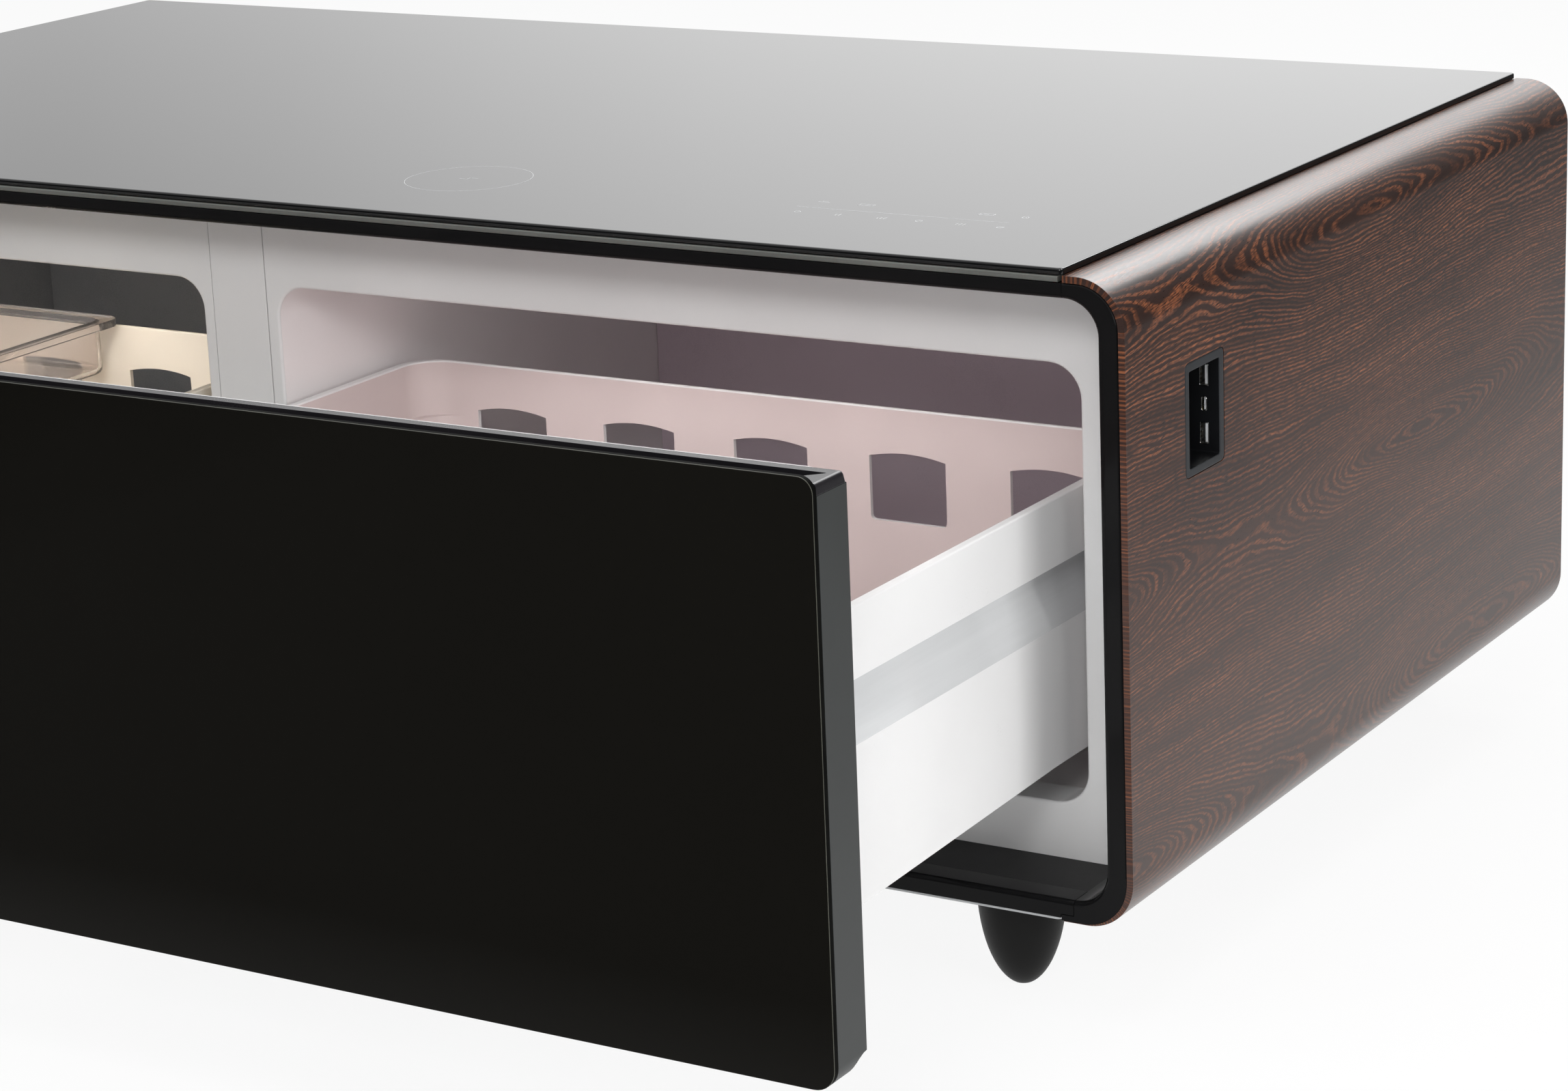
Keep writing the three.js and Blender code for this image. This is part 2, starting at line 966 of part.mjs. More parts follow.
function fanShroud() {
  const half = condenserLength / 2;
  const body = block(
    condenserX - half,
    condenserX + half,
    shroudFront,
    shroudBack,
    baseTop,
    condenserTop,
  );
  const bore = rodY(condenserX, fanZ, shroudBore, shroudFront + shroudWall, shroudBack + cutOverrun);
  const mouth = rodY(condenserX, fanZ, shroudBore - shroudLip, shroudFront - cutOverrun, shroudBack);
  const motor = rodY(condenserX, fanZ, motorRadius, shroudBack - motorDepth, shroudBack);
  const across = block(
    condenserX - shroudBore - shroudWall,
    condenserX + shroudBore + shroudWall,
    shroudBack - strutWidth,
    shroudBack,
    fanZ - strutWidth / 2,
    fanZ + strutWidth / 2,
  );
  const upright = block(
    condenserX - strutWidth / 2,
    condenserX + strutWidth / 2,
    shroudBack - strutWidth,
    shroudBack,
    fanZ - shroudBore - shroudWall,
    fanZ + shroudBore + shroudWall,
  );
  return join(cut(body, bore, mouth), motor, across, upright);
}

function fanRotor() {
  const back = shroudBack - motorDepth - seatGap;
  const front = back - rotorDepth;
  const middle = (front + back) / 2;
  const bladeReach = shroudBore - rotorGap - rotorHubRadius + bladeRoot;
  const blades = [];
  for (let index = 0; index < bladeCount; index += 1) {
    const blade = new THREE.BoxGeometry(bladeReach, bladeThickness, rotorDepth);
    blade.rotateX(bladeTilt);
    blade.translate(rotorHubRadius - bladeRoot + bladeReach / 2, 0, 0);
    blade.rotateY((index * 4 * quarter) / bladeCount);
    blade.translate(condenserX, middle, fanZ);
    blades.push(blade);
  }
  return join(rodY(condenserX, fanZ, rotorHubRadius, front, back), ...blades);
}

function compressor() {
  const potRadius = machineDepth / 2 - compressorGap;
  const profile = [
    new THREE.Vector2(0, 0),
    new THREE.Vector2(potRadius, 0),
    new THREE.Vector2(potRadius, compressorHeight - compressorDomeHeight),
  ];
  for (let step = 1; step < arcSteps; step += 1) {
    const angle = (quarter * step) / arcSteps;
    const rise = compressorHeight - compressorDomeHeight + compressorDomeHeight * Math.sin(angle);
    profile.push(new THREE.Vector2(potRadius * Math.cos(angle), rise));
  }
  profile.push(new THREE.Vector2(0, compressorHeight));
  const low = baseTop + compressorRise;
  const pot = new THREE.LatheGeometry(profile, rodSteps).rotateX(quarter);
  pot.translate(compressorX, machineCentre, low);
  const halfX = compressorPlateLength / 2;
  const halfY = machineDepth / 2 - compressorPlateGap;
  const plate = block(
    compressorX - halfX,
    compressorX + halfX,
    machineCentre - halfY,
    machineCentre + halfY,
    low,
    low + compressorPlateThickness,
  );
  const bushings = [];
  for (const sideX of [-1, 1]) {
    for (const sideY of [-1, 1]) {
      bushings.push(rodZ(
        compressorX + sideX * (halfX - bushingInset),
        machineCentre + sideY * (halfY - bushingInset),
        bushingRadius,
        baseTop,
        low + compressorPlateThickness / 2,
      ));
    }
  }
  return join(plate, pot, ...bushings);
}

function drainPan() {
  const left = drainX - drainLength / 2;
  const right = drainX + drainLength / 2;
  const front = machineFront + drainGap;
  const back = backPanelFront - drainGap;
  const top = baseTop + drainHeight;
  const hollow = block(
    left + drainWall,
    right - drainWall,
    front + drainWall,
    back - drainWall,
    baseTop + drainWall,
    top + cutOverrun,
  );
  return cut(block(left, right, front, back, baseTop, top), hollow);
}

function controlBox() {
  return block(
    controlX - controlLength / 2,
    controlX + controlLength / 2,
    machineFront + controlGap,
    backPanelFront - controlGap,
    baseTop,
    baseTop + controlHeight,
  );
}

// Drawer front
function doorOutline() {
  return roundedOutline(-doorHalf, doorHalf, doorLow, doorHigh, doorTopRadius, doorLowRadius);
}

function doorFrame() {
  const top = doorHigh - doorCapDrop;
  const outline = roundedOutline(-doorHalf, doorHalf, doorLow, top, doorCapRadius, doorLowRadius);
  const body = alongY(outline, doorFrameFront, doorFrameBack);
  const grooveFront = doorFrameFront + grooveFrontWall;
  const groove = block(
    grooveEndInset - doorHalf,
    doorHalf - grooveEndInset,
    grooveFront,
    grooveFront + grooveWidth,
    top - grooveDepth,
    top + cutOverrun,
  );
  const cove = new THREE.CylinderGeometry(
    doorCoveRadius,
    doorCoveRadius,
    2 * (doorHalf + cutOverrun),
    rodSteps,
  );
  cove.rotateZ(quarter).translate(0, doorFrameBack, doorLow);
  return cut(body, groove, cove);
}

function doorInner() {
  const half = doorHalf - doorInnerInset;
  const outline = roundedOutline(
    -half,
    half,
    doorLow + doorInnerTopInset,
    doorHigh - doorInnerTopInset,
    doorInnerRadius,
  );
  return alongY(outline, doorInnerFront, doorInnerBack);
}

function openingAround(room, margin) {
  return roundedOutline(
    room.low - margin,
    room.high + margin,
    openingLow - margin,
    openingHigh + margin,
    openingRadius + margin,
  );
}

function gasket(room) {
  const outer = openingAround(room, gasketOuterMargin);
  return alongY(outer, drawerStart, ringDepth, openingAround(room, gasketInnerMargin));
}

// A bin has a double wall at each side, with a channel under its upper band
function binOutline(left, right) {
  const channelTop = binHigh - bandHeight;
  const channelLow = channelTop - channelHeight;
  const edge = right - lowerPanelInset;
  const half = (right - left) / 2;
  const centre = (left + right) / 2;
  const rightHalf = [
    ...arc(
      edge - binBottomRadius - centre,
      binLow + binBottomRadius,
      binBottomRadius,
      -quarter,
      0,
    ),
    [half - lowerPanelInset, channelLow],
    [half - channelInset, channelTop],
    [half, channelTop],
    [half, binHigh],
  ];
  const leftHalf = mirrored(rightHalf, -1).reverse();
  return [...rightHalf, ...leftHalf].map(([across, up]) => [centre + across, up]);
}

function bin(room) {
  const left = room.low + binSideGap;
  const right = room.high - binSideGap;
  const plan = roundedOutline(
    left,
    right,
    drawerStart - 2 * binCornerRadius,
    binBack,
    binCornerRadius + binWall,
  );
  const body = overlapOf(
    alongY(binOutline(left, right), drawerStart, binBack),
    alongZ(plan, binLow - cutOverrun, binHigh + cutOverrun),
  );
  const ledgeZ = binHigh - bandHeight + binLedgeThickness;
  const front = drawerStart + binWall;
  const back = binBack - binWall;
  const upper = alongZ(
    roundedOutline(left + binRimWidth, right - binRimWidth, front, back, binCornerRadius),
    ledgeZ,
    binHigh + cutOverrun,
  );
  const lower = alongZ(
    roundedOutline(left + binDoubleWall, right - binDoubleWall, front, back, binCornerRadius),
    binLow + binFloor,
    ledgeZ + cutOverrun,
  );
  const span = right - left - 2 * binDoubleWall;
  return cut(body, upper, lower, ...binSlots((left + right) / 2 + room.slotShift, span));
}

function binSlots(centre, span) {
  const top = binHigh - slotDrop;
  const half = slotLength / 2;
  const crownRadius = (half * half + slotCrown * slotCrown) / (2 * slotCrown);
  const spread = Math.asin(half / crownRadius);
  return placesAlong(centre, span, slotLength, slotPitch).map((middle) => {
    const outline = [
      [middle - half, top - slotHeight],
      [middle + half, top - slotHeight],
      ...arc(
        middle,
        top - crownRadius,
        crownRadius,
        quarter - spread,
        quarter + spread,
      ),
    ];
    return alongY(outline, binBack - binWall - cutOverrun, binBack + cutOverrun);
  });
}

// Each slide has a channel on the floor, a beam, and a cap under the bin
const slideLow = floorLow + seatGap;
const slideBed = openingLow + seatGap;
const slideTop = binLow - seatGap;
const slideFront = flangeFront + mouthDepth + slideChannelSetback;
const slideBack = coverFront - slideChannelEndGap;

function slideChannel(centre) {
  const half = slideWidth / 2;
  const high = slideLow + slideChannelHeight;
  const outline = [
    [centre - half, slideLow],
    [centre + half, slideLow],
    [centre + half, high],
    [centre + half - slideWall, high],
    [centre + half - slideWall, slideBed],
    [centre - half + slideWall, slideBed],
    [centre - half + slideWall, high],
    [centre - half, high],
  ];
  return alongY(outline, slideFront, slideBack);
}

function slideBeam(centre) {
  const half = slideWidth / 2 - slideWall - slideClearance;
  const web = slideWeb / 2;
  const low = slideBed + seatGap;
  const high = slideTop - slideWall - seatGap;
  const outline = [
    [centre - half, low],
    [centre + half, low],
    [centre + half, low + slideFlange],
    [centre + web, low + slideFlange],
    [centre + web, high - slideFlange],
    [centre + half, high - slideFlange],
    [centre + half, high],
    [centre - half, high],
    [centre - half, high - slideFlange],
    [centre - web, high - slideFlange],
    [centre - web, low + slideFlange],
    [centre - half, low + slideFlange],
  ];
  const front = slideFront + slideBeamSetback - drawerOpening / 2;
  const back = slideBack - slideBeamSetback - drawerOpening / 2;
  return alongY(outline, front, back);
}

function slideCap(centre) {
  const half = slideWidth / 2;
  const low = slideLow + slideChannelHeight + slideParting;
  const outline = [
    [centre - half, low],
    [centre - half + slideWall, low],
    [centre - half + slideWall, slideTop - slideWall],
    [centre + half - slideWall, slideTop - slideWall],
    [centre + half - slideWall, low],
    [centre + half, low],
    [centre + half, slideTop],
    [centre - half, slideTop],
  ];
  return alongY(outline, drawerStart + slideCapSetback, binBack - slideCapEndGap);
}

// The clear tray hangs by its lip on the left bin's front and back rims
function clearTray() {
  const left = compartments[1].low + binSideGap + traySetIn;
  const right = left + trayBodyLength;
  const lipLow = binHigh + seatGap;
  const top = lipLow + trayLipThickness;
  const lipFront = drawerStart + trayLipSetback;
  const lipBack = binBack - trayLipSetback;
  const front = lipFront + trayLip;
  const back = lipBack - trayLip;
  const low = top - trayHeight;
  const lip = alongZ(
    roundedOutline(left - trayLip, right + trayLip, lipFront, lipBack, trayCornerRadius),
    lipLow,
    top,
  );
  const body = alongZ(roundedOutline(left, right, front, back, trayCornerRadius), low, top);
  const hollow = alongZ(
    roundedOutline(
      left + trayWall,
      right - trayWall,
      front + trayWall,
      back - trayWall,
      trayCornerRadius - trayWall,
    ),
    low + trayWall,
    top + cutOverrun,
  );
  return cut(join(lip, body), hollow);
}

// The cabinet stands on its feet, with the drawer group slid out in front
const table = new THREE.Group();
const cabinet = new THREE.Group();
cabinet.position.set(0, (drawerOpening - cabinetDepth) / 2, footHeight);
table.add(cabinet);
const drawer = new THREE.Group();
drawer.position.set(0, -drawerOpening, 0);
cabinet.add(drawer);

place(cabinet, 'side_panel_right', sidePanel(1), darkWood);
place(cabinet, 'side_panel_left', sidePanel(-1), darkWood);
place(cabinet, 'frame_side_right', ringSide(1), blackGloss);
place(cabinet, 'frame_side_left', ringSide(-1), blackGloss);
place(cabinet, 'frame_top_rail', ringTopRail(), blackGloss);
place(cabinet, 'frame_bottom_rail', ringBottomRail(), blackGloss);
place(cabinet, 'light_strip', lightStrip(), diffuser);
place(cabinet, 'glass_top', glassTop(), blackGlass);
place(cabinet, 'top_tray', topTray(), blackGloss);
place(cabinet, 'charger_coil', chargerCoil(), copper);
place(cabinet, 'touch_board', touchBoard(), boardGreen);
place(cabinet, 'mullion_cover', mullionCover(), whitePlastic);
place(cabinet, 'insulation', insulation(), foam);
place(cabinet, 'base_plate', basePlate(), paintedSteel);
place(cabinet, 'back_panel', backPanel(), darkSteel);
place(cabinet, 'charging_module', chargingModule(), charcoal);
place(cabinet, 'usb_a_upper', port(portPitch, usbAShort, usbALong, usbATongue), zincSteel);
place(cabinet, 'usb_c', port(0, usbCShort, usbCLong, usbCTongue), zincSteel);
place(cabinet, 'usb_a_lower', port(-portPitch, usbAShort, usbALong, usbATongue), zincSteel);
place(cabinet, 'condenser', condenser(), aluminium);
place(cabinet, 'fan_shroud', fanShroud(), blackRubber);
place(cabinet, 'fan_rotor', fanRotor(), charcoal);
place(cabinet, 'compressor', compressor(), darkSteel);
place(cabinet, 'drain_pan', drainPan(), charcoal);
place(cabinet, 'control_box', controlBox(), whitePlastic);
place(cabinet, 'power_inlet', powerInlet(), blackRubber);

for (const room of compartments) {
  place(cabinet, `liner_${room.name}`, liner(room), whitePlastic);
  place(cabinet, `evaporator_cover_${room.name}`, evaporatorCover(room), darkSteel);
  place(cabinet, `evaporator_${room.name}`, evaporator(room), aluminium);
  place(cabinet, `lamp_${room.name}`, lamp(room), diffuser);
  place(drawer, `gasket_${room.name}`, gasket(room), greyRubber);
  place(drawer, `bin_${room.name}`, bin(room), room.side > 0 ? whitePlastic : creamPlastic);
  const runners = [
    ['outer', room.side > 0 ? room.high - binSideGap - slideInset : room.low + binSideGap + slideInset],
    ['inner', room.side > 0 ? room.low + binSideGap + slideInset : room.high - binSideGap - slideInset],
  ];
  for (const [position, centre] of runners) {
    const name = `${room.name}_${position}`;
    place(cabinet, `slide_channel_${name}`, slideChannel(centre), zincSteel);
    place(cabinet, `slide_beam_${name}`, slideBeam(centre), zincSteel);
    place(drawer, `slide_cap_${name}`, slideCap(centre), zincSteel);
  }
}

for (const [sideName, side] of [['right', 1], ['left', -1]]) {
  const across = side * (halfLength - footSideInset);
  place(cabinet, `foot_front_${sideName}`, foot(), blackRubber).position.set(across, footEndInset, 0);
  const back = cabinetDepth - footEndInset;
  place(cabinet, `foot_back_${sideName}`, foot(), blackRubber).position.set(across, back, 0);
}

place(drawer, 'door_glass', alongY(doorOutline(), 0, doorGlassThickness), blackGlass);
place(drawer, 'door_frame', doorFrame(), charcoal);
place(drawer, 'door_inner', doorInner(), whitePlastic);
place(drawer, 'clear_tray', clearTray(), clearPlastic);

export default table;
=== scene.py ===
import math

import bmesh
import bpy
from mathutils import Matrix, Vector


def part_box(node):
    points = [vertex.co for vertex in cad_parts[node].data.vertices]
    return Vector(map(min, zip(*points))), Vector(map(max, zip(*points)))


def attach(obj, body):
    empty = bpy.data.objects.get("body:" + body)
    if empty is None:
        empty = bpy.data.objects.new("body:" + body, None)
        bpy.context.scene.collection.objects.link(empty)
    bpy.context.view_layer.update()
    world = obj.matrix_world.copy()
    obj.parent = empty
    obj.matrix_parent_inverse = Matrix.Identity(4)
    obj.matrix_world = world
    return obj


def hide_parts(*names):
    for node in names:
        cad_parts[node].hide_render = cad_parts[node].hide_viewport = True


# Refrigerator coffee table with its drawer open, in metres: +Z up, the drawer slides out to -Y
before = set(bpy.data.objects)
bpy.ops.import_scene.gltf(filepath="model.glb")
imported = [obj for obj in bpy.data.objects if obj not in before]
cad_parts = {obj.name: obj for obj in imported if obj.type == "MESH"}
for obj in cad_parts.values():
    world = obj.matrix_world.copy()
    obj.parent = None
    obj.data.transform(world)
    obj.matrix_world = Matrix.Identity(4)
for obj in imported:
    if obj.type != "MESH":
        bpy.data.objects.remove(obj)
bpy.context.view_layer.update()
tiny = 0.0002
past = 0.01


# Small helpers for selecting, editing and finishing
def clearSelection():
    bpy.ops.object.select_all(action="DESELECT")


def activate(piece):
    clearSelection()
    piece.select_set(True)
    bpy.context.view_layer.objects.active = piece


def settle(piece, name):
    piece.name = name
    piece.data.name = name
    bpy.ops.object.transform_apply(location=True, rotation=True, scale=True)
    return piece


def addBlock(name, first, second):
    clearSelection()
    low = Vector([min(pair) for pair in zip(first, second)])
    high = Vector([max(pair) for pair in zip(first, second)])
    bpy.ops.mesh.primitive_cube_add(size=1, location=(low + high) / 2, scale=high - low)
    return settle(bpy.context.active_object, name)


def addRod(name, centre, radius, length, axis, sides):
    clearSelection()
    turn = {"x": (0, math.pi / 2, 0), "y": (math.pi / 2, 0, 0)}[axis]
    size = {"vertices": sides, "radius": radius, "depth": length}
    bpy.ops.mesh.primitive_cylinder_add(location=centre, rotation=turn, **size)
    return settle(bpy.context.active_object, name)


def addDisc(name, centre, radius, sides):
    clearSelection()
    bpy.ops.mesh.primitive_circle_add(vertices=sides, radius=radius, fill_type="NGON", location=centre)
    return settle(bpy.context.active_object, name)


# Tests on an edge: the axes it runs along or across, and the places over, under or at which its middle lies
def where(run="", across="", over=None, under=None, **at):
    def wanted(centre, direction):
        tests = [abs(getattr(direction, axis)) > 0.9 for axis in run]
        tests += [abs(getattr(direction, axis)) < 0.1 for axis in across]
        tests += [getattr(centre, axis) > place for axis, place in (over or {}).items()]
        tests += [getattr(centre, axis) < place for axis, place in (under or {}).items()]
        tests += [abs(getattr(centre, axis) - place) < tiny for axis, place in at.items()]
        return all(tests)

    return wanted


def pick(piece, kind, wanted):
    mesh = bmesh.from_edit_mesh(piece.data)
    if kind == "FACE":
        chosen = [face for face in mesh.faces if wanted(face.calc_center_median(), face.normal)]
    elif kind == "EDGE":
        ends = [(edge, edge.verts[0].co, edge.verts[1].co) for edge in mesh.edges]
        chosen = [edge for edge, start, end in ends if wanted((start + end) / 2, (end - start).normalized())]
    else:
        chosen = [point for point in mesh.verts if wanted(point.co)]
    for part in chosen:
        part.select_set(True)
    if kind == "VERT":
        mesh.select_flush(True)
    bmesh.update_edit_mesh(piece.data)


def selectMesh(action="SELECT"):
    bpy.ops.mesh.select_all(action=action)


def openEdit(piece, kind, wanted=None):
    activate(piece)
    bpy.ops.object.mode_set(mode="EDIT")
    bpy.ops.mesh.select_mode(type=kind)
    selectMesh("DESELECT")
    if wanted:
        pick(piece, kind, wanted)


def closeEdit(turnOut=False):
    if turnOut:
        selectMesh()
        bpy.ops.mesh.normals_make_consistent(inside=False)
    bpy.ops.object.mode_set(mode="OBJECT")


def extrude(*way):
    bpy.ops.mesh.extrude_region_move(TRANSFORM_OT_translate={"value": way})


def movePoints(*way):
    bpy.ops.transform.translate(value=way)


def splitAt(place, normal):
    selectMesh()
    bpy.ops.mesh.bisect(plane_co=place, plane_no=normal)


def roundEdges(piece, wanted, width, segments=4):
    openEdit(piece, "EDGE", wanted)
    bpy.ops.mesh.bevel(offset=width, segments=segments, affect="EDGES")
    closeEdit()
    return piece


def addRounded(name, first, second, axis, radius, segments=8):
    return roundEdges(addBlock(name, first, second), where(axis), radius, segments)


def combine(piece, others, operation):
    for other in others:
        activate(piece)
        change = piece.modifiers.new("combine", "BOOLEAN")
        change.operation = operation
        change.solver = "EXACT"
        change.object = other
        bpy.ops.object.modifier_apply(modifier=change.name)
        bpy.data.objects.remove(other, do_unlink=True)
    return piece


def cutAway(piece, *cutters):
    return combine(piece, cutters, "DIFFERENCE")


def unite(piece, *others):
    return combine(piece, others, "UNION")


def joinPieces(name, pieces):
    clearSelection()
    for piece in pieces:
        piece.select_set(True)
    bpy.context.view_layer.objects.active = pieces[0]
    bpy.ops.object.join()
    joined = bpy.context.active_object
    joined.name = name
    joined.data.name = name
    return joined


def softenEdges(piece, width, segments=2, angle=34):
    activate(piece)
    change = piece.modifiers.new("soften", "BEVEL")
    change.width = width
    change.segments = segments
    change.limit_method = "ANGLE"
    change.angle_limit = math.radians(angle)
    bpy.ops.object.modifier_apply(modifier=change.name)
    return piece


def smoothFaces(piece, angle=34):
    activate(piece)
    bpy.ops.object.shade_smooth_by_angle(angle=math.radians(angle))
    change = piece.modifiers.new("normals", "WEIGHTED_NORMAL")
    change.keep_sharp = True
    bpy.ops.object.modifier_apply(modifier=change.name)
    return piece


def seatPiece(piece, body, slot, finish, *nodes, smooth=34):
    if smooth:
        smoothFaces(piece, smooth)
    if finish:
        piece.data.materials.clear()
        piece.data.materials.append(finishes[finish])
    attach(piece, body)
    if nodes:
        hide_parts(*nodes)
    return piece


def paint(piece, names, kindOf):
    for name in names:
        piece.data.materials.append(finishes[name])
    for face in piece.data.polygons:
        face.material_index = int(kindOf(face.center, face.normal))


# Shader nodes: a value that is an output of another node is linked, any other is set
def feed(tree, node, sockets):
    for key, value in sockets.items():
        if isinstance(value, bpy.types.NodeSocket):
            tree.links.new(value, node.inputs[key])
        else:
            node.inputs[key].default_value = value


def addNode(tree, kind, sockets=None, **settings):
    node = tree.nodes.new("ShaderNode" + kind)
    for key, value in settings.items():
        setattr(node, key, value)
    feed(tree, node, sockets or {})
    return node


def startFinish(name):
    material = bpy.data.materials.new(name)
    material.use_nodes = True
    return material, material.node_tree, material.node_tree.nodes["Principled BSDF"]


def split(tree, vector):
    parts = addNode(tree, "SeparateXYZ", {"Vector": vector}).outputs
    return parts["X"], parts["Y"]


def noise(tree, vector, scale, detail, roughness=0.5):
    sockets = {"Vector": vector, "Scale": scale, "Detail": detail, "Roughness": roughness}
    return addNode(tree, "TexNoise", sockets).outputs["Fac"]


def calc(tree, operation, *values, clamp=False):
    sockets = dict(enumerate(values))
    return addNode(tree, "Math", sockets, operation=operation, use_clamp=clamp).outputs["Value"]


def blend(tree, factor, first, second):
    sockets = {"Factor": factor, "A": first, "B": second}
    return addNode(tree, "Mix", sockets, data_type="FLOAT").outputs["Result"]


def twoTones(tree, source, tones, low=0.35, high=0.65):
    ramp = addNode(tree, "ValToRGB", {"Fac": source})
    for element, place, tone in zip(ramp.color_ramp.elements, (low, high), tones):
        element.position = place
        element.color = (*tone, 1)
    return ramp.outputs["Color"]


def spread(tree, source, low, high, start=0.3, end=0.7):
    sockets = {"Value": source, "From Min": start, "From Max": end, "To Min": low, "To Max": high}
    return addNode(tree, "MapRange", sockets).outputs["Result"]


def relief(tree, source, strength, distance):
    sockets = {"Height": source, "Strength": strength, "Distance": distance}
    return addNode(tree, "Bump", sockets).outputs["Normal"]


# Finishes read Object coordinates. Each has its tones, the scales of its cloud and grain, the grain's height,
# its range of roughness and what it has of its own
def makeFinish(name, tones, cloudScale, grainScale, height, rough, own=None):
    own = dict(own or {})
    strength = own.pop("strength", 0.3)
    speckle = own.pop("speckle", 0.3)
    stretch = own.pop("stretch", (1, 1, 1))
    material, tree, shader = startFinish(name)
    place = addNode(tree, "TexCoord").outputs["Object"]
    stretched = addNode(tree, "Mapping", {"Vector": place, "Scale": stretch}).outputs["Vector"]
    cloud = noise(tree, place, cloudScale, 3, 0.55)
    grain = noise(tree, stretched, grainScale, 4, 0.6)
    smudge = noise(tree, place, 9, 5, 0.7)
    feed(tree, shader, own)
    feed(tree, shader, {
        "Base Color": twoTones(tree, blend(tree, speckle, cloud, grain), tones),
        "Roughness": spread(tree, blend(tree, 0.45, smudge, grain), *rough),
        "Normal": relief(tree, grain, strength, height),
    })
    return material


def shiny(level, **own):
    return {"Specular IOR Level": level, **own}


